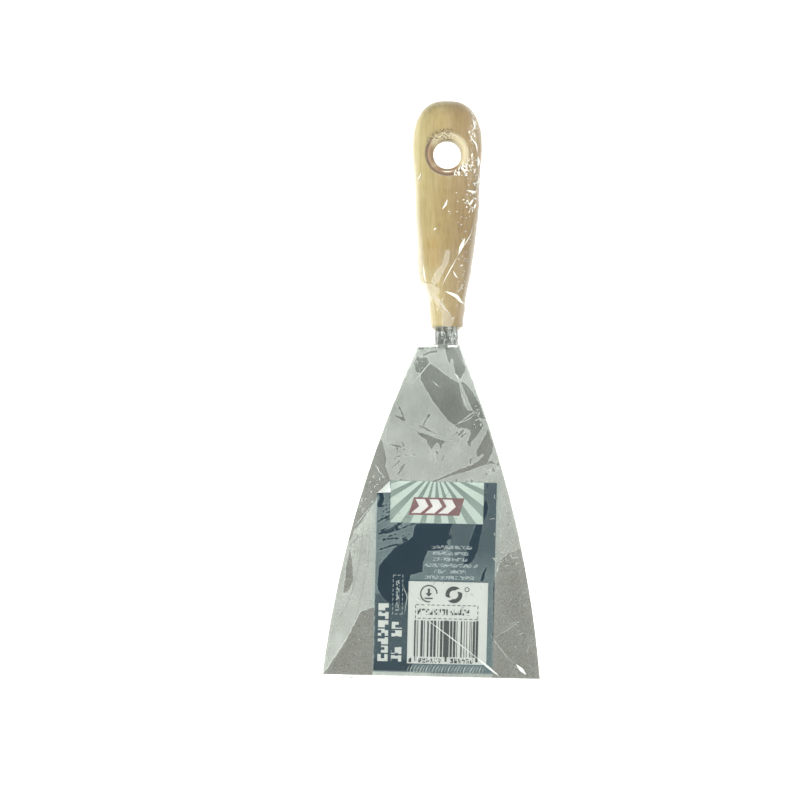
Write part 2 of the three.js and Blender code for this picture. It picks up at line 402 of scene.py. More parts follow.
def signed_distance(points, outline):
    """Distance from each 2-D point to a closed outline, negative inside it."""
    start = np.array(outline, float)
    finish = np.roll(start, -1, axis=0)
    along = finish - start
    distance = segment_distance(points, start, along)
    spans = (start[:, 1] > points[:, 1:]) != (finish[:, 1] > points[:, 1:])
    rise = np.where(along[:, 1] == 0, 1, along[:, 1])
    crossing = start[:, 0] + (points[:, 1:] - start[:, 1]) * along[:, 0] / rise
    inside = (spans & (points[:, :1] < crossing)).sum(1) % 2 == 1
    return np.where(inside, -distance, distance)


def line_distance(points, line):
    """Distance from each 2-D point to an open line of points."""
    start = np.array(line[:-1], float)
    return segment_distance(points, start, np.array(line[1:], float) - start)


# ---- Handle ----

HANDLE_SIDES = 120
HANDLE_RINGS = 0.7  # between its rings
HOLE_SIDES = 72
BORE_SIDES = 48
BORE_START = -5
BORE_CLEARANCE = 0.05
BORE_PAST_TANG = 0.3
HANDLE_POWERS = (2.1, 3)  # of its superellipse at the neck and at the bulb
ROUNDED_END = 26  # the length that the rounded end's rings are spaced for

half_width_along = profile(HALF_WIDTHS)
half_depth_along = profile(HALF_DEPTHS)


def handle_section(y, grow=0.0):
    """Half width, half depth and power of the handle's superellipse section at y."""
    past_bulb = max(0.0, (y - BULB_AT) / (HANDLE_LENGTH - BULB_AT + grow))
    end = (1 - min(1.0, past_bulb) ** END_POWER) ** (1 / END_POWER)
    in_body = min(max(y, 0), BULB_AT)
    power = np.interp(in_body, [0, BULB_AT], HANDLE_POWERS)
    half_width = (half_width_along(in_body) + grow) * end
    return half_width, (half_depth_along(in_body) + grow) * end, power


def superellipse(angles, half_width, half_depth, power):
    """Points of a superellipse at the given angles."""
    across = np.cos(angles).round(6)
    up = np.sin(angles).round(6)
    x = half_width * np.sign(across) * np.abs(across) ** (2 / power)
    z = half_depth * np.sign(up) * np.abs(up) ** (2 / power)
    return x, z


def handle_stations(grow, spacing):
    """Places along the handle, even up to the bulb and then closing up towards its rounded end."""
    body = np.linspace(EDGE_EASE, BULB_AT, int(BULB_AT / spacing), endpoint=False)
    end = np.sin(np.linspace(0, math.pi / 2, int(ROUNDED_END / spacing)))[:-1]
    return np.concatenate([body, BULB_AT + end * (HANDLE_LENGTH - BULB_AT + grow)])


def lathe(outline, steps, centre):
    """A closed turned solid about a z axis, from (radius, z) points, placed at centre."""
    points = []
    for radius, z in outline:
        for step in range(steps):
            angle = 2 * math.pi * step / steps
            points.append((centre[0] + radius * math.cos(angle), centre[1] + radius * math.sin(angle), z))
    return closed_object("cutter", points, tube_faces(len(outline), steps))


def handle_blank():
    """The handle before it is bored."""
    angles = np.linspace(0, 2 * math.pi, HANDLE_SIDES, endpoint=False)
    eased = [(EDGE_EASE * (1 - math.cos(t)), EDGE_EASE * (1 - math.sin(t))) for t in (0, 0.5, 1.0)]
    sections = [(y, *handle_section(0, -shrink)) for y, shrink in eased]
    sections += [(y, *handle_section(y)) for y in handle_stations(0, HANDLE_RINGS)]
    points = []
    for y, half_width, half_depth, power in sections:
        x, z = superellipse(angles, half_width, half_depth, power)
        points.extend(zip(x, np.full(HANDLE_SIDES, y), z))
    top = len(points)
    points.append((0, HANDLE_LENGTH, 0))
    faces = tube_faces(len(sections), HANDLE_SIDES)
    last_ring = faces.pop()
    faces += [[near, far, top] for near, far in zip(last_ring, last_ring[1:] + last_ring[:1])]
    return closed_object("wood_handle", points, faces)


def hole_cutter():
    """A spool that leaves the hanging hole with rounded-over rims."""
    face_at = BULB_HALF_DEPTH - HOLE_ROUNDOVER
    beyond = 2 * BULB_HALF_DEPTH
    outline = [(HOLE_RADIUS + HOLE_ROUNDOVER, -beyond)]
    for side in (-1, 1):
        for turn in np.linspace(0, math.pi / 2, 9)[::side]:
            radius = HOLE_RADIUS + HOLE_ROUNDOVER * (1 - math.cos(turn))
            outline.append((radius, side * (face_at + HOLE_ROUNDOVER * math.sin(turn))))
    outline.append((HOLE_RADIUS + HOLE_ROUNDOVER, beyond))
    return lathe(outline, HOLE_SIDES, (0, HOLE_AT))


def bore_cutter():
    """A cylinder along y for the blind bore that the tang sits in."""
    radius = TANG_RADIUS + BORE_CLEARANCE
    points = []
    for y in (BORE_START, TANG_TOP + BORE_PAST_TANG):
        for angle in np.linspace(0, 2 * math.pi, BORE_SIDES, endpoint=False):
            points.append((TANG_X + radius * math.cos(angle), y, radius * math.sin(angle)))
    return closed_object("cutter", points, tube_faces(2, BORE_SIDES))


def make_handle():
    """The wooden handle with its hanging hole and the bore for the tang."""
    made = handle_blank()
    cut(made, hole_cutter())
    cut(made, bore_cutter())
    smooth(made, 40)
    return made


hole_centre = (TO_ROW @ Vector((0, HOLE_AT, 0))) * 1000  # in the row's millimetres


def wood_material():
    """Pale lacquered wood: long grain lines, fine pores, painted shade on its left edge and its right side,
    and a pitted hole, dark brown on its left and lower walls with a painted shadow line round their rim.
    """
    made, tree, surface = new_material("lacquered_wood")
    x, y, _ = position_mm(tree)
    broad = grain(tree, (0.16, 0.012, 0.1), detail=2, seed=3.1)
    lines = grain(tree, (1.5, 0.035, 0.9), detail=4, seed=8.4)
    pores = grain(tree, (7, 0.35, 7), detail=2, seed=1.7)
    mottle = grain(tree, (0.5, 0.35, 0.5), detail=4, seed=5.2)
    pale = blend(tree, broad.ramp(0.3, 0.7), (0.62, 0.52, 0.27), (0.53, 0.41, 0.165))
    lined = blend(tree, lines.ramp(0.42, 0.72, 0, 0.7), pale, (0.43, 0.32, 0.125))
    fine = blend(tree, pores.ramp(0.56, 0.74, 0, 0.5), lined, (0.31, 0.2, 0.08))
    toned = blend(tree, mottle.ramp(0.35, 0.7, 0, 0.22), fine, (0.66, 0.56, 0.33))
    across = x - hole_centre.x
    along = y - hole_centre.y
    radius = (across.math("POWER", 2) + along.math("POWER", 2)).math("SQRT")
    in_hole = radius.ramp(HOLE_RADIUS + 2.2, HOLE_RADIUS + 3.2, 1, 0)
    left = (across * -1 - abs(along + 1) * 0.5).ramp(1.0, 5.0)
    upper_left = along.ramp(3.6, 5.0) * across.ramp(1.0, 3.5, 1, 0)
    lower = (along * -1).ramp(3.0, 5.5)
    specks = grain(tree, (1.9, 1.9, 1.9), detail=2, seed=9.3).ramp(0.52, 0.56)
    pitted = radius.ramp(HOLE_RADIUS + 3.3, HOLE_RADIUS + 4.6, 1, 0) * upper_left
    middle = abs(along + 30).ramp(8, 26, 0.45, 0)
    deeper = blend(tree, middle, toned, (0.80, 0.72, 0.55), "MULTIPLY")
    patch_across = ((across + 5.5) * (1 / 3.2)).math("POWER", 2)
    patch_along = ((along + 36) * (1 / 6.5)).math("POWER", 2)
    patch = (patch_across + patch_along).ramp(0.3, 1.3, 0.7, 0)
    warmer = blend(tree, patch, deeper, (0.95, 0.82, 0.60), "MULTIPLY")
    # Painted shade: the left edge is multiplied darker, with a faint green tint, to hold down the light that
    # falls on it from the left.
    left_painted_shade = blend(tree, across.ramp(-9, -1, 1, 0), warmer, (0.89, 0.94, 0.96), "MULTIPLY")
    # Painted shade: the right side is multiplied browner and darker, as the side turned away from the light.
    shaded = blend(tree, across.ramp(-4, 7), left_painted_shade, (0.78, 0.71, 0.74), "MULTIPLY")
    bare = blend(tree, in_hole * 0.8, shaded, (0.56, 0.50, 0.34))
    # The hole's left and lower walls are darker brown.
    dark_hole_walls = blend(tree, in_hole * (left | lower) * 0.9, bare, (0.25, 0.155, 0.085))
    # Painted shadow: a dark line round the hole's left and lower rim, under the film's rolled bead.
    rim_shadow_line = abs(radius - HOLE_RADIUS - 2.6).ramp(0.2, 0.7, 1, 0) * (left | lower)
    rim_shadowed = blend(tree, rim_shadow_line * 0.8, dark_hole_walls, (0.10, 0.055, 0.035))
    speckled = blend(tree, pitted * specks, rim_shadowed, (0.13, 0.075, 0.04))
    relief = lines * 0.5 + pores * 0.35 + pitted * specks * -1.5
    wood = add_node(
        tree, "ShaderNodeBsdfPrincipled", Base_Color=speckled, IOR=1.48,
        Roughness=(lines * 0.2 + mottle * 0.15).ramp(0.05, 0.3, 0.36, 0.55),
        Coat_Weight=0.25, Coat_Roughness=0.4, Normal=bump(tree, relief, 0.12, 0.5),
    )
    tree.links.new(wood.outputs[0], surface)
    return made


handle = make_handle()
finish_piece(handle, wood_material(), "handle")

# ---- Blade with its rolled tang ----


def side_circle():
    """Centre of the circle that the blade's right side follows, in (u, v)."""
    top = np.array([SHOULDER_WIDTH / 2, 0.0])
    bottom = np.array([EDGE_WIDTH / 2, BLADE_LENGTH])
    along = bottom - top
    length = np.linalg.norm(along)
    inwards = np.array([-along[1], along[0]]) / length
    return (top + bottom) / 2 + inwards * math.sqrt(SIDE_RADIUS**2 - (length / 2) ** 2)


side_centre = side_circle()


def blade_half_width(v):
    """Half the blade's width at v."""
    return side_centre[0] + np.sqrt(SIDE_RADIUS**2 - (v - side_centre[1]) ** 2)


def inset(outline, amount):
    """A closed outline, counterclockwise, moved inwards by an amount at every corner."""
    here = np.array(outline, float)
    before = here - np.roll(here, 1, axis=0)
    after = np.roll(here, -1, axis=0) - here
    before /= np.linalg.norm(before, axis=1)[:, None]
    after /= np.linalg.norm(after, axis=1)[:, None]
    normal = np.stack([-(before[:, 1] + after[:, 1]), before[:, 0] + after[:, 0]], -1)
    normal /= np.linalg.norm(normal, axis=1)[:, None]
    half_angle = np.clip((normal * np.stack([-after[:, 1], after[:, 0]], -1)).sum(-1), 0.5, 1)
    return here + normal * (amount / half_angle)[:, None]


def plate_outline():
    """The blade's outline in (u, -v), with the relief slots beside the tongue."""
    down = np.linspace(0, BLADE_LENGTH, 90)
    right = [(float(blade_half_width(v)), -float(v)) for v in down]
    left = [(-u, minus_v) for u, minus_v in right[::-1]]
    tongue_u = TONGUE_X - BLADE_AT[0]
    inner = TONGUE_WIDTH / 2
    outer = inner + RELIEF_WIDTH
    overlap = 0.3  # of the tongue with the plate
    slots = [(-outer, 0), (-outer, -RELIEF_DEPTH), (-inner, -RELIEF_DEPTH), (-inner, -overlap)]
    slots += [(-u, minus_v) for u, minus_v in slots[::-1]]
    return right + left + [(tongue_u + u, minus_v) for u, minus_v in slots]


def make_plate():
    """The flat of the blade, with its edges eased."""
    outline = plate_outline()
    area = sum(a[0] * b[1] - b[0] * a[1] for a, b in zip(outline, outline[1:] + outline[:1]))
    if area < 0:
        outline = outline[::-1]
    levels = []
    for turn in (0, 0.5, 1.0, math.pi / 2):
        levels.append((STEEL_EASE * (1 - math.sin(turn)), STEEL_EASE * (1 - math.cos(turn))))
    rings = [(shrink, BLADE_FRONT - STEEL + rise) for shrink, rise in levels]
    rings += [(shrink, BLADE_FRONT - rise) for shrink, rise in levels[::-1]]
    points = []
    for shrink, height in rings:
        ring = inset(outline, shrink)
        points.extend(blade_to_tool(ring[:, 0], -ring[:, 1], height))
    return closed_object("plate", points, tube_faces(len(rings), len(outline)))


def make_tube():
    """The rolled tang: a tube of the same sheet with an open seam at the back and eased rims."""
    seam = TANG_SEAM / 2 / TANG_RADIUS
    angles = np.linspace(-math.pi / 2 + seam, 1.5 * math.pi - seam, 72)
    lower_end = [(TANG_BOTTOM, TANG_EASE), (TANG_BOTTOM + TANG_EASE, 0)]
    upper_end = [(TANG_TOP - 3 * TANG_CHAMFER, 0), (TANG_TOP, TANG_CHAMFER)]
    ends = lower_end + upper_end
    points = []
    for y, shrink in ends:
        walls = ((TANG_RADIUS - shrink, 1), (TANG_RADIUS - STEEL + shrink * 0.3, -1))
        for radius, direction in walls:
            for angle in angles[::direction]:
                points.append((TANG_X + radius * math.cos(angle), y, radius * math.sin(angle)))
    sides = 2 * len(angles)
    faces = ring_faces(len(ends), sides)
    for start in (0, len(points) - sides):
        for index in range(len(angles) - 1):
            near = start + index
            far = start + sides - 1 - index
            faces.append([near, near + 1, far - 1, far])
    return closed_object("tube", points, faces)


def make_tongue():
    """The strip that bends down from the tang's front wall to the plate."""
    slot_end = BLADE_AT[1] - RELIEF_DEPTH
    bend_start = TANG_BOTTOM + 0.2
    top = TANG_BOTTOM + 1.2
    bottom = slot_end - 1.5
    stations = np.linspace(0, 1, 28)
    points = []
    for share in stations:
        y = top + (bottom - top) * share
        drop = soft_step(bend_start - y, 0, bend_start - slot_end)
        front = TONGUE_FRONT + (BLADE_FRONT - 0.01 - TONGUE_FRONT) * drop
        crown = TONGUE_CROWN * (1 - drop)
        half = TONGUE_WIDTH / 2 + TONGUE_FLARE * drop
        for side, height in ((-1, 0), (-0.5, 0.75), (0, 1), (0.5, 0.75), (1, 0)):
            points.append((TONGUE_X + side * half, y, front + crown * height))
        for side in (1, 0.5, 0, -0.5, -1):
            points.append((TONGUE_X + side * half, y, front - STEEL + 0.02))
    return closed_object("tongue", points, tube_faces(len(stations), len(points) // len(stations)))


def make_blade():
    """The blade's plate, tongue and tang, joined into one piece."""
    made = make_plate()
    cut(made, make_tongue(), "UNION")
    cut(made, make_tube(), "UNION")
    made.name = "steel_blade"
    smooth(made, 35)
    return made


TANG_START = tool_origin.y * 1000 + TANG_BOTTOM + 0.2  # along the row's Y


def steel_material():
    """Ground sheet steel: short grinding marks, long hairlines, small dark pits, and a painted reflection
    that brightens it towards the cutting edge.
    """
    made, tree, surface = new_material("ground_steel")
    y = position_mm(tree)[1]
    towards_edge = (y * -1).ramp(-25, 60)
    long_marks = grain(tree, (8, 0.4, 8), detail=4, seed=2.3, roughness=0.6)
    short_marks = grain(tree, (5, 1.5, 5), detail=5, seed=2.9, roughness=0.75)
    lines = long_marks + (short_marks - long_marks) * towards_edge
    hair = grain(tree, (12, 0.25, 12), detail=2, seed=6.1)
    cloud = grain(tree, (0.05, 0.03, 0.05), detail=3, seed=4.4)
    specks = grain(tree, (3.5, 2.0, 3.5), detail=2, seed=7.7)
    cool = blend(tree, cloud.ramp(0.35, 0.65), (0.32, 0.37, 0.32), (0.41, 0.45, 0.395))
    # Painted reflection: the colour brightens down towards the cutting edge, as a reflection growing down
    # the blade would.
    base = blend(tree, towards_edge, cool, (0.82, 0.815, 0.75))
    sheet = blend(tree, y.ramp(TANG_START, TANG_START + 0.5), base, (0.27, 0.285, 0.265))
    depth = towards_edge.ramp(0, 1, 0.4, 0.75)
    lined = blend(tree, lines.ramp(0.4, 0.66, 0, 1) * depth, sheet, (0.22, 0.22, 0.205))
    shining = blend(tree, hair.ramp(0.55, 0.75, 0, 0.5), lined, (0.80, 0.81, 0.77))
    spotted = blend(tree, specks.ramp(0.66, 0.76, 0, 0.35), shining, (0.24, 0.22, 0.19))
    relief = lines * 0.6 + hair * 0.4
    steel = add_node(
        tree, "ShaderNodeBsdfPrincipled", Base_Color=spotted, Metallic=0.92,
        Roughness=relief.ramp(0.3, 0.7, 0.36, 0.54), Normal=bump(tree, relief, 0.03, 0.6),
    )
    tree.links.new(steel.outputs[0], surface)
    return made


blade = make_blade()
finish_piece(blade, steel_material(), "blade")

# ---- Label card ----

CARD_COLUMNS = 44
FLAP_LIFT = 0.5  # how far the folded corner stands off the card
FLAP_THICKNESS = 0.2
FLAP_GAP = 0.08
FLAP_STEPS = 7


def card_rows():
    """Rows down the label, closer together over the cut corner."""
    over_corner = np.linspace(0, LABEL_FOLD, 8, endpoint=False)
    return np.concatenate([over_corner, np.linspace(LABEL_FOLD, LABEL_LENGTH, 70)])


def card_height(a, b):
    """The card lies nearly flat, and bows off the steel by a tenth of a millimetre."""
    return 0.1 * (1 + np.sin(a * 0.17 + 1) * np.sin(b * 0.12)) / 2


def make_label():
    """The printed card. a runs across it from its middle and b down it from its top edge."""
    right = LABEL_WIDTH / 2
    upper = []
    for b in card_rows():
        left = -right + max(0.0, LABEL_FOLD - b)
        for a in np.linspace(left, right, CARD_COLUMNS):
            upper.append((a, b, LABEL_BACK + LABEL_THICKNESS + card_height(a, b)))
    rows = len(card_rows())
    rim = list(range(CARD_COLUMNS))
    rim += [row * CARD_COLUMNS + CARD_COLUMNS - 1 for row in range(1, rows)]
    rim += [len(upper) - 1 - index for index in range(1, CARD_COLUMNS)]
    rim += [row * CARD_COLUMNS for row in range(rows - 2, 0, -1)]
    points, faces = thicken(upper, grid_faces(rows, CARD_COLUMNS), rim, LABEL_THICKNESS)
    flap_points, flap_faces = thicken(*make_flap(), FLAP_THICKNESS)
    white = [0.0] * len(points) + [1.0] * len(flap_points)
    faces += shifted(flap_faces, len(points))
    a, b, height = np.transpose(points + flap_points)
    places = blade_to_tool(a + LABEL_OFFSET, b + LABEL_TOP, height)
    made = closed_object("printed_card", places, faces, {"print_a": a, "print_b": b, "card_back": white})
    smooth(made, 30)
    return made


def make_flap():
    """The top left corner, folded over on the diagonal so that the card's white back shows."""
    left = -LABEL_WIDTH / 2
    fold_low = np.array([left, LABEL_FOLD])
    fold_high = np.array([left + LABEL_FOLD, 0])
    corner = np.array([left + LABEL_FOLD + 0.3, LABEL_FOLD - 0.4])
    base = LABEL_BACK + LABEL_THICKNESS + FLAP_GAP + FLAP_THICKNESS
    upper = []
    index = {}
    for row in range(FLAP_STEPS + 1):
        for column in range(FLAP_STEPS + 1 - row):
            away = row / FLAP_STEPS
            along = column / FLAP_STEPS
            a, b = fold_low + (corner - fold_low) * away + (fold_high - fold_low) * along
            lift = FLAP_LIFT * math.sin(away * math.pi / 2) + 0.12 * math.sin(along * 5) * away
            index[row, column] = len(upper)
            upper.append((a, b, base + lift))
    faces = []
    for row, column in index:
        beside, below, beyond = (row, column + 1), (row + 1, column), (row + 1, column + 1)
        if beside in index:
            faces.append([index[row, column], index[below], index[beside]])
        if beyond in index:
            faces.append([index[below], index[beyond], index[beside]])
    rim = [index[row, 0] for row in range(FLAP_STEPS + 1)]
    rim += [index[FLAP_STEPS - column, column] for column in range(1, FLAP_STEPS + 1)]
    rim += [index[0, column] for column in range(FLAP_STEPS - 1, 0, -1)]
    return upper, faces, rim


# The print, in the card's own a and b. A box is its left, right, top and bottom.

INK_NAVY = (0.003, 0.029, 0.052)
INK_WHITE = (0.68, 0.70, 0.67)
INK_BLACK = (0.014, 0.016, 0.018)
INK_RED = (0.20, 0.03, 0.035)
HEADER = (-17.0, 17.2, 0.0, 15.3)
SUNBURST_AT = (-0.4, -4.4)
BADGE_MIDDLE = 8.6
BADGE_SLANT = 0.28
BADGE = (-9.2, 9.4, 5.9, 12.4)
CHEVRON_BAND = (-9.2, 9.4, 6.5, 11.7)
CHEVRONS_FROM = -6.2
CHEVRONS_TO = 8.4
CHEVRON_PITCH = 5.0
ADDRESS_TOP = 23.4
ADDRESS_PITCH = 2.24
ADDRESS_HEIGHT = 1.3
ADDRESS_ROWS = [(-1.6, 13.3), (-1.0, 12.0), (-0.9, 11.8), (-4.4, 15.5), (-0.3, 11.2), (-3.6, 14.3)]
PANEL = (-9.6, 19.6, 36.8, 67.2)
TRAY_MARK = (-2.1, 41.3)
ARROWS_MARK = (7.1, 41.5)
ORDER_FRAME = (-7.0, 16.2, 45.3, 50.6)
ORDER_LINE = (-6.1, 12.9, 46.9, 49.1)
BARS = (-7.2, 16.4, 51.2, 64.6)
GUARD_BARS = [(-7.2, -6.2, 51, 66.3), (4.2, 5.0, 51, 66.3), (15.5, 16.4, 51, 66.3)]
DIGIT_GROUPS = [(-5.4, 3.4, 65.1, 66.8), (5.9, 14.7, 65.1, 66.8)]
FIRST_DIGIT = (-9.0, -8.0, 65.1, 66.8)
SIDE_WORD = (-20.5, -16.7, 44.7, 66.6)
SIDE_SIZES = [(-15.5, -11.7, 51.4, 57.4), (-15.5, -11.7, 60.7, 66.6)]
SIDE_FRAME = (-15.4, -11.6, 34.6, 49.2)
SIDE_LINE = (-14.2, -12.9, 36.6, 47.8)


class Print:
    """Masks for the label's print, drawn in its own millimetres from two wires."""

    def __init__(self, a, b):
        self.a = a
        self.b = b

    def box(self, left, right, top, bottom):
        across = abs(self.a - (left + right) / 2) < (right - left) / 2
        return across & (abs(self.b - (top + bottom) / 2) < (bottom - top) / 2)

    def boxes(self, places):
        """Several boxes at once."""
        whole = self.box(*places[0])
        for place in places[1:]:
            whole = whole | self.box(*place)
        return whole

    def letters(self, along, pitch, share):
        """1 over the first share of each pitch, as letters in a row are."""
        return (along * (1 / pitch)).math("FRACT") < share

    def frame(self, left, right, top, bottom, line, dash):
        """A dashed box outline."""
        outside = self.box(left, right, top, bottom)
        inside = self.box(left + line, right - line, top + line, bottom - line)
        dashes = ((self.a + self.b) * (1 / dash)).math("FRACT") > 0.38
        return (outside - inside) & dashes

    def distance(self, at_a, at_b):
        return ((self.a - at_a).math("POWER", 2) + (self.b - at_b).math("POWER", 2)).math("SQRT")

    def ring(self, at_a, at_b, radius, line):
        return abs(self.distance(at_a, at_b) - radius) < line / 2

    def cells(self, across, down, seed, share):
        """Random small cells, on or off: print too fine to read."""
        tree = self.a.tree
        place = add_node(tree, "ShaderNodeCombineXYZ")
        feed(tree, place.inputs[0], (self.a * (1 / across)).math("FLOOR"))
        feed(tree, place.inputs[1], (self.b * (1 / down)).math("FLOOR"))
        place.inputs[2].default_value = seed
        dice = add_node(tree, "ShaderNodeTexWhiteNoise", Vector=place.outputs[0])
        return Wire(tree, dice.outputs["Value"]) < share


def blend_ink(factor, below, ink):
    """A layer of ink over what is below it."""
    return blend(factor.tree, factor, below, ink)


def print_header(draw, colour):
    """The pale header with its rays, and a red badge with three chevrons."""
    a, b = draw.a, draw.b
    bearing = (a - SUNBURST_AT[0]).math("ARCTAN2", b - SUNBURST_AT[1])
    ray_wave = (bearing * 23.0 + 0.5).math("SINE") + (bearing * 9.0 + 0.6).math("SINE") * 0.25
    burst = blend_ink(ray_wave.ramp(0.1, 0.16), (0.62, 0.70, 0.635), (0.19, 0.25, 0.215))
    fade = draw.distance(*SUNBURST_AT).ramp(10, 22, 0.0, 0.3)
    burst = blend_ink(fade, burst, (0.50, 0.57, 0.51))
    colour = blend_ink(draw.box(*HEADER), colour, burst)
    slanted = Print(a + (b - BADGE_MIDDLE) * BADGE_SLANT, b)
    colour = blend_ink(slanted.box(*BADGE), colour, INK_RED)
    place = slanted.a + abs(b - BADGE_MIDDLE - 0.5) * 0.85
    chevrons = (place > CHEVRONS_FROM) & (place < CHEVRONS_TO)
    chevrons = chevrons & (((place - CHEVRONS_FROM) * (1 / CHEVRON_PITCH)).math("FRACT") < 0.68)
    return blend_ink(slanted.box(*CHEVRON_BAND) & chevrons, colour, (0.82, 0.80, 0.78))


def panel_marks(draw):
    """Where the pale panel is black: two round marks, a framed line, bars and digits."""
    a, b = draw.a, draw.b
    across, down = a - TRAY_MARK[0], b - TRAY_MARK[1]
    marks = draw.ring(*TRAY_MARK, 3.0, 0.5) & ((across * 1.2 + down) < 3.6)
    tray = Print(across, down)
    marks = marks | tray.box(-0.4, 0.4, -1.9, 0) | tray.box(-1.5, 1.5, 1.5, 2.0)
    marks = marks | ((abs(across) + down < 1.1) & (down > -0.2))
    turn = (a - ARROWS_MARK[0]).math("ARCTAN2", b - ARROWS_MARK[1])
    gap = abs((turn + draw.distance(*ARROWS_MARK) * 0.35).math("SINE")) > 0.28
    marks = marks | (draw.ring(*ARROWS_MARK, 2.35, 1.5) & gap)
    marks = marks | draw.ring(ARROWS_MARK[0] + 4.8, ARROWS_MARK[1] - 2.0, 0.75, 0.32)
    marks = marks | draw.frame(*ORDER_FRAME, 0.3, 1.9)
    order = draw.box(*ORDER_LINE) & draw.cells(0.5, 0.72, 7, 0.55)
    marks = marks | (order & draw.letters(a - ORDER_LINE[0], 1.5, 0.78))
    bars = draw.box(*BARS) & draw.cells(0.3, 40, 9, 0.66) & draw.letters(a, 1.2, 0.72)
    marks = marks | bars | (draw.boxes(GUARD_BARS) & draw.cells(0.3, 40, 3, 0.6))
    digits = draw.boxes(DIGIT_GROUPS) & draw.letters(a - DIGIT_GROUPS[0][0], 1.46, 0.74)
    digits = (digits | draw.box(*FIRST_DIGIT)) & draw.cells(0.36, 0.42, 12, 0.62)
    return marks | digits


def print_side(draw, colour):
    """Large blocks up the card's left side, and a small framed note beside them."""
    a, b = draw.a, draw.b
    blocks = Print(a - SIDE_WORD[0], b - SIDE_WORD[2])
    word = draw.box(*SIDE_WORD) & ((blocks.b * (1 / 3.13)).math("FRACT") > 0.16)
    size_down = b - SIDE_SIZES[0][2]
    size = draw.boxes(SIDE_SIZES) & ((size_down * (1 / 3.1)).math("FRACT") > 0.17)
    colour = blend_ink((word | size) & blocks.cells(1.27, 1.043, 23, 0.7), colour, INK_WHITE)
    note = draw.frame(*SIDE_FRAME, 0.28, 1.7)
    note = note | (draw.box(*SIDE_LINE) & draw.cells(0.45, 0.55, 15, 0.5))
    return blend_ink(note * 0.6, colour, (0.66, 0.70, 0.70))


def print_colour(draw):
    """The whole label's colour, laid down ink by ink."""
    ink_cloud = grain(draw.a.tree, (0.12, 0.12, 0.12), seed=2.2).ramp(0.3, 0.7)
    colour = blend_ink(ink_cloud, INK_NAVY, (0.006, 0.034, 0.058))
    colour = print_header(draw, colour)
    for row, (left, right) in enumerate(ADDRESS_ROWS):
        top = ADDRESS_TOP + ADDRESS_PITCH * row
        line = draw.box(left, right, top, top + ADDRESS_HEIGHT) & draw.cells(0.5, 0.43, row, 0.55)
        colour = blend_ink(line * 0.55, colour, (0.66, 0.71, 0.72))
    colour = blend_ink(draw.box(*PANEL), colour, INK_WHITE)
    colour = blend_ink(panel_marks(draw) * 0.95, colour, INK_BLACK)
    return print_side(draw, colour)


def card_material():
    """Satin printed card with faint paper tooth, ink mottle and a white back."""
    made, tree, surface = new_material("printed_card")
    draw = Print(number_attribute(tree, "print_a"), number_attribute(tree, "print_b"))
    tooth = grain(tree, (5, 5, 5), detail=2, seed=3.3)
    inked = blend(tree, tooth.ramp(0.4, 0.75, 0, 0.012), print_colour(draw), (0.5, 0.52, 0.5))
    paper = blend(tree, tooth.ramp(0.4, 0.7), (0.86, 0.87, 0.84), (0.76, 0.78, 0.75))
    shown = blend(tree, number_attribute(tree, "card_back") > 0.5, inked, paper)
    card = add_node(
        tree, "ShaderNodeBsdfPrincipled", Base_Color=shown, Specular_IOR_Level=0.2,
        Roughness=tooth.ramp(0.3, 0.7, 0.38, 0.55), Normal=bump(tree, tooth, 0.02, 0.4),
    )
    tree.links.new(card.outputs[0], surface)
    return made


label = make_label()
finish_piece(label, card_material(), "label_card")
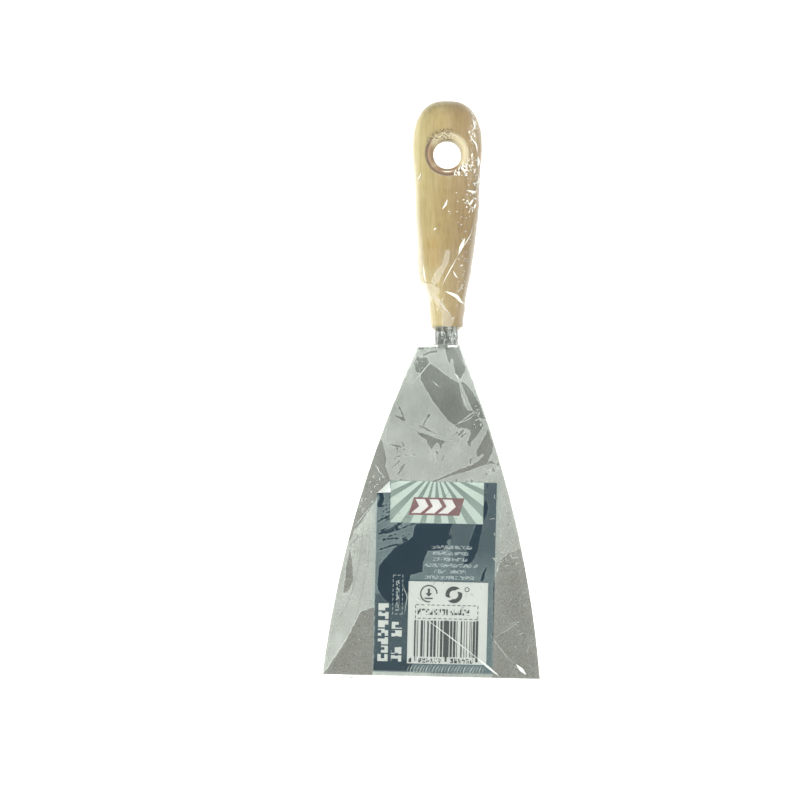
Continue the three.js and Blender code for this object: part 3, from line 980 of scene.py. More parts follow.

# ---- Shrink wrap ----
# Over the blade the film is pulled into flat facets. Those that lie as flat as the steel get a milky haze
# that also paints in the reflection of the light above them; the others, outlined here in (u, v), lean a
# little and look clear.

CLEAR_FACETS = [
    # the broad one below the shoulder, the small one above it and the tail below it
    [(-6.5, 12), (-6, 9.5), (-3, 6), (4.5, 11.5), (7.5, 13), (8.5, 17), (9.5, 21), (11, 23), (13.5, 23),
     (6.5, 28.5), (4, 27), (0, 22), (-2, 19.5)],
    [(-9, 6), (-8, 4), (-4.5, 4), (-3.5, 6), (-6.5, 9.5), (-8, 9.5)],
    [(6.5, 29), (14, 23.5), (15.5, 26), (17, 28.5), (14, 33), (12.5, 34.5), (12.5, 36.5), (11, 35),
     (12.5, 31.5), (12, 30), (10, 29.5)],
    # two down the right side from the tang
    [(1.5, -1.5), (3, -0.5), (7.5, 0.5), (10, 8), (8, 11.5), (6, 9), (5.5, 4.5), (4.5, 4), (4, 6), (3, 3.5)],
    [(8, 12), (11, 14), (15, 20), (17.5, 26), (16, 26), (14.5, 23.5), (13, 23), (10, 16.5)],
    # the crescent over the label
    [(18.5, 30), (20.5, 35), (20.5, 38), (18.5, 42.5), (13.5, 44.5), (4.5, 47.5), (0, 49.5), (-2, 49.5),
     (6, 46), (13, 43), (16, 41), (17.5, 39.5), (17, 38.5), (15, 40), (14.5, 38), (17.5, 32.5)],
    # little tears in the haze above the label
    [(-15.5, 25.5), (-13, 26), (-12.5, 25.5), (-11.5, 27.5), (-13.5, 27)],
    [(-8, 28.5), (-4.5, 29.5), (-0.5, 31.5), (0, 32), (-3, 31), (-6, 29.5)],
    [(-7.5, 31), (-0.5, 33.5), (3, 34.5), (2, 36), (1.5, 38.5), (1, 35.5), (0, 35), (-1, 36), (-2, 38),
     (-2.5, 36.5), (-4, 34), (-7, 32)],
    # down the left side
    [(-24, 34), (-20, 34.5), (-18.5, 41.5), (-18.5, 44.5), (-16.5, 50), (-18.5, 51), (-21, 54), (-22, 57),
     (-27, 65), (-29.5, 68), (-31, 72), (-37, 71), (-32, 52)],
    [(-31, 74.5), (-30, 79), (-29.5, 86.5), (-31, 90), (-33, 91.5), (-32, 81)],
    [(-21.5, 96), (-26.5, 98), (-31.5, 108.5), (-38, 119), (-41, 123), (-21.5, 123)],
    # the bare corner at the lower right
    [(22, 86.5), (24.5, 78), (27, 75.5), (31.5, 73.5), (37, 72.5), (45, 123), (22.5, 123)],
    # three over the label
    [(-7, 65), (6.5, 64.5), (5.5, 67.5), (6.5, 70), (4.5, 71), (5.5, 74), (-2.5, 75), (-4, 79.5),
     (-4, 82.5), (-8.5, 84), (-9, 89.5), (-10.5, 95), (-15, 95), (-18, 93), (-20.5, 89), (-20, 80.5),
     (-15, 74.5), (-8, 70)],
    [(18.5, 55), (19.5, 58.5), (17.5, 65), (16, 73.5), (14.5, 78), (12, 80), (10.5, 79), (13, 71), (15, 65),
     (17.5, 63), (17.5, 59)],
    [(19.5, 80), (18.5, 85.5), (17, 85.5), (18, 82.5)],
]
CLEAR_LINES = [  # thin clear creases: a line and its width
    ([(-9.5, 1), (-4.5, 0.5), (-3, -0.5)], 0.45),
    ([(-5.5, 3), (-3.5, 2), (-1, 1.5)], 0.8),
    ([(-15.5, 19.5), (-14, 22.5), (-12.5, 25.5)], 0.45),
    ([(-17.5, 36), (-13, 37)], 0.45),
    ([(-13, 35), (-12, 36.5)], 0.4),
    ([(-12, 38), (-10.5, 36.5)], 0.3),
    ([(-14.5, 37.5), (-14, 39)], 0.4),
    ([(-15, 40.5), (-7.5, 39.5)], 0.4),
    ([(-15.5, 42), (-15, 41)], 0.35),
    ([(-16, 44.5), (-13.5, 42)], 0.4),
    ([(-13.5, 45), (-10.5, 42.5)], 0.4),
    ([(-14, 47), (-12, 44.5)], 0.35),
    ([(-1, 41), (0, 43)], 0.4),
    ([(3, 39.5), (2, 41.5)], 0.4),
    ([(-0.5, 38), (0.5, 39)], 0.5),
    ([(-3, 25), (-4, 26.5), (-5, 28.5)], 0.6),
    ([(8, 32), (9.5, 30.5)], 0.6),
    ([(9, 33), (9.5, 32)], 0.6),
    ([(12.5, 42.5), (12.5, 40.5)], 0.5),
    ([(-21, 64.5), (-16, 62)], 0.5),
    ([(-20.5, 69), (-12.5, 67), (-7.5, 65)], 0.5),
    ([(-19, 71), (-14, 70.5)], 0.5),
    ([(-13, 70.5), (-9.5, 71)], 0.5),
    ([(-20.5, 75), (-16.5, 73.5), (-12.5, 72.5)], 0.5),
    ([(-21, 51.5), (-19.5, 56), (-20.5, 58.5)], 1.5),
    ([(17.5, 41.5), (20.5, 42), (24, 43)], 0.4),
]
SCRATCHES = [  # middle, spread, how many, heading and its spread in degrees, length, width
    ((1.0, 38.5), (4.0, 3.5), 6, 85, 20, 2.0, 0.2),
    ((6.5, 31.5), (3.5, 2.0), 6, 60, 40, 1.5, 0.2),
    ((20.5, 44.0), (3.0, 3.0), 14, 40, 60, 1.6, 0.2),
    ((-7.5, 2.5), (2.0, 3.0), 8, 30, 50, 1.4, 0.2),
    ((6.0, 3.0), (2.0, 3.0), 8, 75, 25, 1.4, 0.2),
    ((-15.5, 67.0), (4.5, 7.0), 18, 15, 14, 3.4, 0.2),
    ((-16.0, 57.0), (3.0, 4.0), 8, 30, 30, 2.0, 0.2),
    ((15.0, 53.0), (5.0, 2.5), 10, 75, 25, 2.6, 0.2),
    ((-4.0, 55.0), (14.0, 5.0), 16, 65, 25, 2.2, 0.2),
    ((-28.0, 66.0), (3.5, 14.0), 26, 60, 40, 2.4, 0.2),
    ((25.0, 64.0), (2.5, 10.0), 10, 60, 30, 2.0, 0.2),
    ((-16.5, 65.0), (4.0, 8.5), 20, 24, 12, 5.0, 0.34),
]
HANDLE_HAZE_AND_SHEEN_PATCHES = [  # hazy patches of film on the handle, whose haze also paints in the film's reflection, in the tool's x and y
    [(-0.5, 28), (1, 28), (0.5, 23.5), (-2, 19), (-3.5, 15.5), (-6, 16), (-4.5, 20), (-2, 22.5)],
    [(-8.5, 16), (-5.5, 15.5), (-2, 13.5), (-4.5, 11), (-6.5, 8.5), (-9, 8)],
    [(-5.5, 11), (-4, 11.5), (-1, 8), (2.5, 2.5), (1.5, 0), (-2, 0), (-2, 5), (-4, 8)],
]

FRONT_POINTS = 200  # around the front half of each ring of the film
BACK_POINTS = 40
RING_SAMPLES = 1201  # that a half ring is measured with before its points are spaced along it
SIDE_CROWDING = 2.5  # how much closer together those samples are at its sides
FINE_ROWS = 0.4  # between the film's rings over the upper blade
COARSE_ROWS = 0.75  # and over the lower blade
ROWS_CHANGE = 78  # v where one becomes the other
NECK_ROWS = 0.35
HANDLE_ROWS = 0.95
FILM_FRONT = BLADE_FRONT + 0.12
FILM_BACK = BLADE_FRONT - STEEL - 0.12
FILM_PAST_EDGE = 0.85  # how far the film runs on past the cutting edge
EDGE_PINCH = 0.9  # the share of its thickness that it has lost there
SHOULDER_SLACK = 0.5  # how far it stands out sideways at the blade's shoulders
NECK_RADIUS = TANG_RADIUS + 0.2
NECK_POWER = 2.1
NECK_FROM = TANG_BOTTOM + 0.7
NECK_TO = -1.8
ONTO_WOOD = -0.25
SHOULDER_POWER = 2.7
BLADE_POWER = 16  # nearly square-edged
SQUARE_FROM = 30  # v from which the section is as square as that
CARD_LIFT = 0.5
CARD_SIDE_SLOPE = 2.6  # how far beside the card the film comes down to the steel
CARD_END_SLOPE = 0.7  # and past its ends
CARD_RIM = 0.6  # how far onto the card it still rises
FLAP_MIDDLE = (3, 2.6)  # from the card's upper left corner, over the folded flap
FACET_RISE = 0.45  # the most that a clear facet stands up
FACET_SLOPE = 0.035
FACET_TURN = 1.9  # radians from one facet's direction to the next one's
WRINKLE_SEED = 11
BACK_HAZE = 0.12
HANDLE_HAZE_AND_SHEEN = 0.17


def blade_section(v):
    """The film's section across the blade: where it is, how wide, low and high, and its power."""
    tent = max(0.0, 1 - max(v, 0) / TENT_LENGTH) ** 2
    power = SHOULDER_POWER + (BLADE_POWER - SHOULDER_POWER) * min(1.0, max(v, 0) / SQUARE_FROM)
    pinch = np.clip((v - BLADE_LENGTH - FILM_GAP) / (FILM_PAST_EDGE - FILM_GAP), 0, 1)
    low = FILM_BACK + (-NECK_RADIUS - FILM_BACK) * tent
    high = FILM_FRONT + (NECK_RADIUS - FILM_FRONT) * tent
    middle = (low + high) / 2
    return {
        "x": BLADE_AT[0] + v * math.sin(BLADE_TURN),
        "y": BLADE_AT[1] - v * math.cos(BLADE_TURN),
        "turn": BLADE_TURN,
        "half_width": float(blade_half_width(min(v, BLADE_LENGTH))) + FILM_GAP + SHOULDER_SLACK * tent,
        "low": low + (middle - low) * EDGE_PINCH * pinch,
        "high": high + (middle - high) * EDGE_PINCH * pinch,
        "power": power,
    }


def upright_section(x, y, half_width, half_depth, power):
    """A section of the film that goes as far behind the tool's middle plane as before it."""
    return {
        "x": x, "y": y, "turn": 0, "half_width": half_width,
        "low": -half_depth, "high": half_depth, "power": power,
    }


def between(first, second, share):
    """A section part of the way from one to another."""
    return {key: first[key] + (second[key] - first[key]) * share for key in first}


def film_sections():
    """Every ring of the film from past the cutting edge to the handle's rounded end."""
    lower = np.arange(BLADE_LENGTH + FILM_PAST_EDGE, ROWS_CHANGE, -COARSE_ROWS)
    upper = np.arange(lower[-1] - FINE_ROWS, 0.2, -FINE_ROWS)
    sections = [blade_section(v) for v in (*lower, *upper)]
    corners = [
        sections[-1],
        upright_section(TANG_X, NECK_FROM, NECK_RADIUS, NECK_RADIUS, NECK_POWER),
        upright_section(TANG_X, NECK_TO, NECK_RADIUS, NECK_RADIUS, NECK_POWER),
        upright_section(0, ONTO_WOOD, *handle_section(0, FILM_GAP)),
    ]
    for first, second in zip(corners, corners[1:]):
        steps = max(3, int((second["y"] - first["y"]) / NECK_ROWS))
        sections += [between(first, second, soft_step(step, 0, steps)) for step in range(1, steps + 1)]
    for y in handle_stations(FILM_GAP, HANDLE_ROWS):
        sections.append(upright_section(0, y, *handle_section(y, FILM_GAP)))
    return sections


def half_ring(half_width, half_depth, power, count):
    """Points over one half of a superellipse from left to right, spaced evenly along it."""
    t = np.linspace(-1, 1, RING_SAMPLES)
    x = np.sign(t) * (1 - (1 - np.abs(t)) ** SIDE_CROWDING)
    z = (1 - np.abs(x) ** power) ** (1 / power)
    x, z = x * half_width, z * half_depth
    travelled = np.concatenate([[0], np.cumsum(np.hypot(np.diff(x), np.diff(z)))])
    at = np.linspace(0, travelled[-1], count + 1)[:-1]
    return np.interp(at, travelled, x), np.interp(at, travelled, z)


def wrinkle(a, b, size, seed):
    """Smooth noise from 0 to 1 at each place, with features of about size."""
    return np.array([
        (noise.noise(Vector((x / size, y / size, seed))) + 1) / 2 for x, y in zip(a.tolist(), b.tolist())
    ])


def ridged(a, b, size, seed):
    """Noise with sharp crests, as creased film has, from 0 to 1."""
    return (1 - np.abs(2 * wrinkle(a, b, size, seed) - 1)) ** 4


def card_cover(u, v):
    """1 where the film lies on the card, with a short slope down to the steel round it."""
    across = soft_step(LABEL_WIDTH / 2 - np.abs(u - LABEL_OFFSET), -CARD_SIDE_SLOPE, CARD_RIM)
    from_top = soft_step(v - LABEL_TOP, -CARD_END_SLOPE, CARD_RIM)
    to_bottom = soft_step(LABEL_TOP + LABEL_LENGTH - v, -CARD_END_SLOPE, CARD_RIM)
    return across * from_top * to_bottom


def facet_rise(u, v, facet, heading):
    """How far one clear facet leans up out of the film, rising in its own direction."""
    places = np.stack([u, v], -1)
    outline = np.array(facet)
    direction = np.array([math.cos(heading), math.sin(heading)])
    reach = outline @ direction
    rise = np.clip((places @ direction - reach.min()) / np.ptp(reach), 0, 1)
    near = np.abs(places - outline.mean(0)).max(-1) < np.ptp(outline, axis=0).max()
    inside = np.zeros(len(u))
    inside[near] = soft_step(-signed_distance(places[near], facet), -0.5, 0.9)
    return inside * rise * min(FACET_RISE, FACET_SLOPE * np.ptp(reach))


def blade_relief(u, v):
    """How far the film stands off its plain section over the blade's front."""
    height = CARD_LIFT * card_cover(u, v)
    flap = np.hypot(u - LABEL_OFFSET + LABEL_WIDTH / 2 - FLAP_MIDDLE[0], v - LABEL_TOP - FLAP_MIDDLE[1])
    height += FLAP_LIFT * soft_step(-flap, -4.5, -1.5)
    for order, facet in enumerate(CLEAR_FACETS):
        height += facet_rise(u, v, facet, (FACET_TURN * order) % (2 * math.pi))
    height += 0.10 * ridged(u, v, 9, WRINKLE_SEED) + 0.05 * wrinkle(u, v, 2.2, WRINKLE_SEED + 5)
    edge = blade_half_width(np.minimum(v, BLADE_LENGTH)) - np.abs(u)
    calm = soft_step(edge, 0.2, 2.5) * soft_step(BLADE_LENGTH - v, 0.2, 2) * soft_step(v, 0, 2)
    crimps = 0.25 * ridged(u, v, 3.5, WRINKLE_SEED + 9) * soft_step(edge, -0.1, 0.5)
    return height * calm + crimps * (1 - calm)


def arch(share, power):
    """A superellipse's height at a share of its half width: 1 over its middle and 0 at its side."""
    return (1 - min(1.0, abs(share)) ** power) ** (1 / power)


def blade_film_height(u, v):
    """The film's height over the blade's front at (u, v)."""
    heights = []
    for across, down in zip(u, v):
        section = blade_section(down)
        middle = (section["low"] + section["high"]) / 2
        rise = arch(across / section["half_width"], section["power"])
        heights.append(middle + (section["high"] - middle) * rise)
    return np.array(heights) + blade_relief(u, v)


def handle_crumple(x, y):
    """How far the film stands off the handle: loose on its right side and by the neck."""
    loose = 0.2 + 0.45 * soft_step(x, 1, 7) + 0.35 * soft_step(-y, -14, 0) * soft_step(y, 0, 2)
    fine = 0.30 * ridged(x, y, 5.5, WRINKLE_SEED + 21) + 0.14 * ridged(x, y, 2.1, WRINKLE_SEED + 22)
    return loose * fine


def handle_film_height(x, y):
    """The film's height over the handle's front at (x, y)."""
    heights = []
    for across, along in zip(x, y):
        half_width, half_depth, power = NECK_RADIUS, NECK_RADIUS, NECK_POWER
        if along > 0:
            half_width, half_depth, power = handle_section(along, FILM_GAP)
        height = half_depth * arch(across / half_width, power)
        into_hole = 1 - (math.hypot(across, along - HOLE_AT) - HOLE_RADIUS) / HOLE_ROUNDOVER
        if into_hole > 0:
            hollow = HOLE_ROUNDOVER * (1 - math.sqrt(1 - min(into_hole, 1) ** 2))
            height = min(height, BULB_HALF_DEPTH + FILM_GAP - hollow)
        heights.append(height)
    return np.array(heights) + handle_crumple(x, y)


def scratch_lines():
    """Short broken scratches in the haze, seeded so that they fall the same way each time."""
    dice = random.Random(WRINKLE_SEED + 1)
    lines = []
    for middle, spread, count, heading, turn, length, width in SCRATCHES:
        for _ in range(count):
            u = middle[0] + spread[0] * dice.uniform(-1, 1)
            v = middle[1] + spread[1] * dice.uniform(-1, 1)
            angle = math.radians(heading + turn * dice.uniform(-1, 1))
            reach = length * dice.uniform(0.4, 1.2)
            far = (u + reach * math.cos(angle), v - reach * math.sin(angle))
            middle_bend = ((u + far[0]) / 2 + dice.uniform(-0.3, 0.3), (v + far[1]) / 2)
            lines.append(([(u, v), middle_bend, far], width * dice.uniform(0.5, 1.5)))
    return lines


clear_lines = CLEAR_LINES + scratch_lines()


def lit_distance(u, v):
    """How deep inside the hazy film, with its painted reflection, a place over the blade is, in millimetres:
    negative in clear film.
    """
    places = np.stack([u, v], -1)
    nearest = np.full(len(u), 5.0)
    for facet in CLEAR_FACETS:
        nearest = np.minimum(nearest, signed_distance(places, facet))
    for line, width in clear_lines:
        nearest = np.minimum(nearest, line_distance(places, line) - width / 2)
    return nearest


def haze_and_reflection_level(u, v):
    """How strong the haze and the reflection painted into it are: less over the dark card than over bare
    steel.
    """
    left = np.interp(v, [0, 18, 45, 62, 90, 122], [0.19, 0.2, 0.21, 0.24, 0.23, 0.31])
    right = np.interp(v, [0, 45, 58, 72, 90], [0.19, 0.21, 0.23, 0.15, 0.2])
    steel = np.where(u < 0, left, right)
    card = np.where((u > 6) & (v < 92), np.interp(v, [60, 74, 84], [0.065, 0.065, 0.13]), 0.135)
    a, b = u - LABEL_OFFSET, v - LABEL_TOP
    on_panel = (a > PANEL[0]) & (a < PANEL[1]) & (b > PANEL[2]) & (b < PANEL[3])
    card = np.where(on_panel, 0.035, card)
    card = np.where((b < HEADER[3]) & (a > HEADER[0]) & (a < HEADER[1]), 0.09, card)
    card = np.where((u < -9) & (v > 91), 0.05, card)
    card = np.where((v > 115) & (u < -7), 0.02, card)
    on_card = (np.abs(u - LABEL_OFFSET) < LABEL_WIDTH / 2) & (v > LABEL_TOP) & (v < LABEL_TOP + LABEL_LENGTH)
    return np.where(on_card, card, steel)


def clear_haze_and_sheen(u, v):
    """The faint uneven haze that even clear film over the blade has, with a painted sheen towards the
    shoulder.
    """
    uneven = 0.035 * soft_step(wrinkle(u, v, 7, WRINKLE_SEED + 31), 0.45, 0.7)
    # Painted sheen: the film is lighter towards the blade's shoulder.
    upper = np.interp(v, [0, 13, 20, 40], [0.09, 0.075, 0.01, 0.0])
    left = 0.06 * soft_step(-u, 16, 20) * soft_step(-v, -75, -60)
    on_card = card_cover(u, v)
    return 0.006 + (uneven + upper + left) * (1 - on_card)


def web_offset(y):
    """The film bridges straight past the slim part of the handle on its left."""
    return np.interp(y, [10, 13, 17, 20, 30, 44], [0, 0.7, 2.3, 2.2, 0.8, 0])


def blade_ring(section, across, height, front):
    """One ring round the blade: its points, and what the shader needs to know at each of them."""
    v = np.full(len(across), (BLADE_AT[1] - section["y"]) / math.cos(BLADE_TURN))
    height[front] += blade_relief(across[front], v[front])
    ear = soft_step(-across, 37.5, 40.2) * soft_step(v, 118.5, 121)
    return blade_to_tool(across * (1 + 0.02 * ear), v + 0.5 * ear, height), {
        "lit": np.where(front, lit_distance(across, v), 1),
        "level": np.where(front, haze_and_reflection_level(across, v), BACK_HAZE),
        "veil": np.where(front, clear_haze_and_sheen(across, v) + 0.3 * ear, 0.03),
        "over_card": card_cover(across, v) * front,
    }


def handle_haze_and_sheen(section, across, x, y, front):
    """The faint haze over the neck and the handle, thicker where the film is bunched at the sides, which
    also paints the glow of light along the handle's edges.
    """
    on_wood = soft_step(y, -0.4, 0)
    over_wood = 0.015 + 0.035 * soft_step(28.5 - y, 0, 0.6)
    # Streaks of haze over the neck's crinkled film, with its mottled highlights painted in.
    streaks = soft_step(wrinkle(x * 2.2, y * 0.55, 1.7, WRINKLE_SEED + 43), 0.5, 0.6)
    over_neck = 0.04 + 0.22 * streaks
    bunched = soft_step(np.abs(across) / section["half_width"], 0.78, 0.98)
    # Painted light: the film bunched at each side is whitened, most on the left, for the glow along the
    # handle's edges.
    left_side = np.interp(y, [6, 15, 40, 62], [0.05, 0.25, 0.16, 0])
    right_side = np.interp(y, [4, 14, 34, 48], [0.03, 0.12, 0.1, 0])
    sides = bunched * np.where(across < 0, left_side, right_side) * on_wood
    return (over_wood * on_wood + over_neck * (1 - on_wood)) * front + sides


def handle_ring(section, across, height, front):
    """The same for a ring round the neck or the handle."""
    half_width = section["half_width"]
    half_depth = (section["high"] - section["low"]) / 2
    middle = (section["high"] + section["low"]) / 2
    y = np.full(len(across), section["y"])
    stand_off = handle_crumple(across, y) * soft_step(half_width, 1, 5)
    outwards = np.stack([across / half_width, (height - middle) / half_depth], -1)
    outwards /= np.maximum(np.linalg.norm(outwards, axis=1), 1e-6)[:, None]
    leftmost = np.clip(-across / half_width, 0, 1) ** 4
    rightmost = np.clip(across / half_width, 0, 1) ** 4
    web = web_offset(section["y"]) * (0.15 * rightmost - leftmost)
    x = section["x"] + across + outwards[:, 0] * stand_off + web
    z = height + outwards[:, 1] * stand_off
    places = np.stack([x, y], -1)
    inside = np.max([-signed_distance(places, veil) for veil in HANDLE_HAZE_AND_SHEEN_PATCHES], axis=0)
    return np.stack([x, y, z], -1), {
        "lit": np.where(front, np.maximum(inside, -5), -1),
        "level": np.full(len(across), HANDLE_HAZE_AND_SHEEN),
        "veil": handle_haze_and_sheen(section, across, x, y, front),
        "over_card": np.zeros(len(across)),
    }


def make_film_shell():
    """The film's points, faces and numbers, as one tube closed at both ends."""
    sections = film_sections()
    sides = FRONT_POINTS + BACK_POINTS
    front = np.arange(sides) < FRONT_POINTS
    points = []
    known = []
    for section in sections:
        half_depth = (section["high"] - section["low"]) / 2
        halves = [
            half_ring(section["half_width"], half_depth, section["power"], count)
            for count in (FRONT_POINTS, BACK_POINTS)
        ]
        (front_x, front_z), (back_x, back_z) = halves
        across = np.concatenate([front_x, -back_x])
        height = np.concatenate([front_z, -back_z]) + (section["high"] + section["low"]) / 2
        ring = blade_ring if section["turn"] == BLADE_TURN else handle_ring
        places, ring_numbers = ring(section, across, height, front)
        points.append(places)
        known.append(ring_numbers)
    numbers = {key: np.concatenate([ring[key] for ring in known]) for key in known[0]}
    return np.concatenate(points), tube_faces(len(sections), sides), numbers


def open_at_hole(points, faces):
    """Cuts the film back to a clean circle round the hanging hole, front and back."""
    away = points[:, :2] - (0, HOLE_AT)
    distance = np.hypot(away[:, 0], away[:, 1])
    flank = np.abs(points[:, 2]) > 3
    near = (np.abs(distance - FILM_OPENING) < 0.4) & flank
    points[near, :2] = (0, HOLE_AT) + away[near] * (FILM_OPENING / distance[near])[:, None]
    distance[near] = FILM_OPENING
    within = (distance < FILM_OPENING - 0.01) & flank
    return [face for face in faces if len(face) > 4 or not within[face].any()]


class Folds:
    """Small closed ridges of doubled film, collected for the film's mesh."""

    def __init__(self):
        self.points = []
        self.faces = []
        self.veil = []

    def add(self, left, right, crest, veil):
        """One ridge from its two base lines and its crest line, which meet in a point at each end."""
        start = sum(len(part) for part in self.points)
        ridge = np.stack([left, right, crest], 1).reshape(-1, 3)
        self.points.append(ridge)
        self.faces += shifted(tube_faces(len(left), 3), start)
        # Painted highlight: the ridge's whiteness, with the film's own whitening in the fold.
        self.veil += [veil] * len(ridge)

    def crease(self, line, width, to_surface, veil=0.62, lean=0.0):
        """A ridge along a line of (a, b) points on a surface, widest in its middle."""
        line = np.array(line, float)
        steps = np.linalg.norm(np.diff(line, axis=0), axis=1)
        travelled = np.concatenate([[0], np.cumsum(steps)])
        count = max(6, int(travelled[-1] / 0.6))
        shares = np.linspace(0, 1, count)
        at = shares * travelled[-1]
        middle = np.stack([np.interp(at, travelled, line[:, axis]) for axis in (0, 1)], -1)
        along = np.gradient(middle, axis=0)
        along /= np.linalg.norm(along, axis=1)[:, None]
        sideways = np.stack([-along[:, 1], along[:, 0]], -1)
        body = np.sin(math.pi * np.clip(shares + lean * (shares - shares**2), 0.001, 0.999)) ** 1.1
        half = (width / 2 * body)[:, None]
        self.add(
            to_surface(middle - sideways * half, -0.02),
            to_surface(middle + sideways * half, -0.02),
            to_surface(middle, width * 0.3 * body + 0.02),
            veil,
        )


def on_blade(places, lift):
    """Places in (u, v) put on the film over the blade's front."""
    height = blade_film_height(places[:, 0], places[:, 1]) + lift
    return blade_to_tool(places[:, 0], places[:, 1], height)


def on_handle(places, lift):
    """Places in (x, y) put on the film over the handle's front."""
    height = handle_film_height(places[:, 0], places[:, 1]) + lift
    return np.stack([places[:, 0], places[:, 1], height], -1)


BLADE_CREASES = [  # a line in (u, v), its width and how white it is: whitened film with a painted highlight
    ([(-7.2, 0), (-4.5, -0.4), (-0.5, -0.3)], 1.3, 0.6),
    ([(-17.5, 26.5), (-8, 30), (2, 33.5), (12.5, 37)], 1.3, 0.18),
    ([(-26, 62), (-27.5, 76), (-30, 92)], 1.5, 0.14),
    ([(-24, 60), (-24.5, 80), (-28, 100)], 1.1, 0.12),
    ([(-35, 102), (-31, 93), (-28, 84)], 1.0, 0.14),
    ([(-4.5, 96.5), (-4, 99), (4.5, 105), (14, 112), (21, 117.5)], 0.4, 0.65),
    ([(16, 113.5), (21, 117.5), (25.5, 121)], 0.8, 0.8),
    ([(-9, 89.5), (-7, 92.5), (-2, 95), (2, 99.5)], 0.45, 0.6),
    ([(31, 116), (33, 118), (35, 120)], 1.3, 0.9),
    ([(22.5, 106.5), (27.5, 103.5), (32, 100)], 0.3, 0.35),
    ([(20.5, 104.5), (26, 111.5), (31, 117.5)], 0.3, 0.4),
    ([(-9.5, 14), (-6.5, 10), (-3, 6)], 0.35, 0.45),
    ([(6.5, 28.5), (12, 26), (14, 24)], 0.35, 0.4),
    ([(-2.5, 12.5), (-1.5, 13), (-0.5, 14), (1, 15)], 0.35, 0.5),
    ([(-23.5, 43), (-21.5, 44.5), (-21, 46), (-18.5, 48.5)], 0.35, 0.5),
    ([(-22, 57), (-25.5, 61.5), (-30.5, 68)], 0.35, 0.4),
    ([(5.5, 9.5), (7, 10.5), (7.5, 12.5)], 0.6, 0.6),
    ([(8, 16), (9.5, 19), (11, 22.5)], 0.35, 0.5),
    ([(-21.5, 79), (-22.5, 92), (-26, 104)], 0.3, 0.22),
    ([(23, 55), (24.5, 66), (23.5, 77)], 0.35, 0.25),
    ([(-12, 86), (-9.5, 92), (-10.5, 99)], 0.35, 0.3),
]
HANDLE_CREASES = [  # the same on the handle, in (x, y)
    ([(9.5, 38), (8.5, 33.5), (7, 31), (5, 28), (3.5, 25)], 0.35, 0.8),
    ([(6.5, 32.5), (5, 29), (4, 26)], 1.15, 0.95),
    ([(4, 26), (2, 22.5), (-0.5, 18), (-2, 14.5)], 0.35, 0.9),
    ([(-1, 13), (1.5, 12), (3.5, 11), (5, 9), (7, 8)], 1.2, 0.95),
    ([(-0.5, -0.9), (0.8, -0.5), (2.2, -1)], 0.7, 0.95),
    ([(0, 46.5), (-0.5, 44.5), (-2, 42.5)], 0.75, 0.9),
    ([(-4, 36), (-5, 35)], 0.6, 0.85),
    ([(-9.5, 56), (-10, 54.5), (-11, 53)], 0.5, 0.7),
    ([(2, 20.5), (3, 18.5), (4, 17.5)], 0.6, 0.8),
    ([(-2.5, 56.8), (-1, 56.3), (1, 56.3), (2.5, 56.8)], 0.45, 0.8),
    ([(7, 49.5), (9, 49), (11, 49)], 0.8, 0.95),
    ([(8, 44), (9.5, 46.5)], 0.8, 0.95),
    ([(9.5, 42.5), (10.5, 45)], 0.8, 0.9),
    ([(-5, 11.5), (-2, 8), (1.5, 4)], 0.35, 0.5),
    ([(7.5, 67), (9, 68), (10.5, 66), (11, 62.5)], 0.55, 0.9),
    ([(11, 62), (11.5, 60), (11, 58)], 1.0, 0.95),
    ([(8.5, 76), (9.5, 74.5), (10, 72.5), (8.5, 70.5)], 0.5, 0.85),
    ([(11, 56), (11.5, 53), (10.5, 50)], 0.5, 0.85),
]
SQUIGGLES = [  # surface, middle, spread, how many, length, how white: whitened film with a painted highlight
    ("handle", (9.3, 73), (1.6, 5.0), 22, 1.7, 0.95),
    ("handle", (5.0, 57.4), (2.6, 2.4), 70, 1.1, 0.95),
    ("handle", (8.2, 60.0), (1.1, 3.2), 26, 1.2, 0.95),
    ("handle", (10.6, 55.0), (1.0, 7.0), 18, 1.8, 0.9),
    ("handle", (8.6, 46.5), (2.4, 5.5), 16, 1.5, 0.9),
    ("handle", (3.6, 42.0), (3.0, 8.0), 7, 1.0, 0.85),
    ("handle", (5.6, 20.0), (1.8, 6.5), 16, 1.1, 0.85),
    ("handle", (0.5, 5.0), (4.4, 5.0), 5, 1.2, 0.8),
    ("handle", (-0.2, -3.4), (3.4, 2.6), 34, 1.5, 0.45),
    ("blade", (27.0, 76.5), (3.8, 4.0), 26, 2.2, 0.4),
    ("blade", (24.5, 63.0), (2.6, 8.0), 12, 2.0, 0.3),
    ("blade", (-26.5, 60.0), (4.0, 8.0), 34, 2.0, 0.4),
    ("blade", (-21.5, 47.0), (2.6, 5.0), 14, 1.4, 0.45),
    ("blade", (15.0, 25.5), (2.0, 4.5), 22, 1.5, 0.4),
    ("blade", (-8.0, 4.2), (1.8, 3.8), 18, 1.4, 0.32),
    ("blade", (21.0, 44.6), (2.6, 2.2), 14, 1.3, 0.4),
    ("blade", (-27.5, 96.0), (4.0, 14.0), 12, 1.8, 0.25),
    ("blade", (33.0, 104.0), (4.0, 14.0), 22, 2.6, 0.22),
    ("blade", (-1.0, 58.0), (16.0, 6.0), 8, 2.0, 0.2),
    ("blade", (6.0, 90.0), (12.0, 8.0), 8, 2.2, 0.2),
    ("handle", (9.0, 60.0), (2.6, 16.0), 34, 0.9, 0.5),
    ("handle", (6.5, 28.0), (2.4, 16.0), 16, 0.9, 0.5),
]
STREAK_SPACING = 1.15  # of the slanted streaks along the label's bottom edge


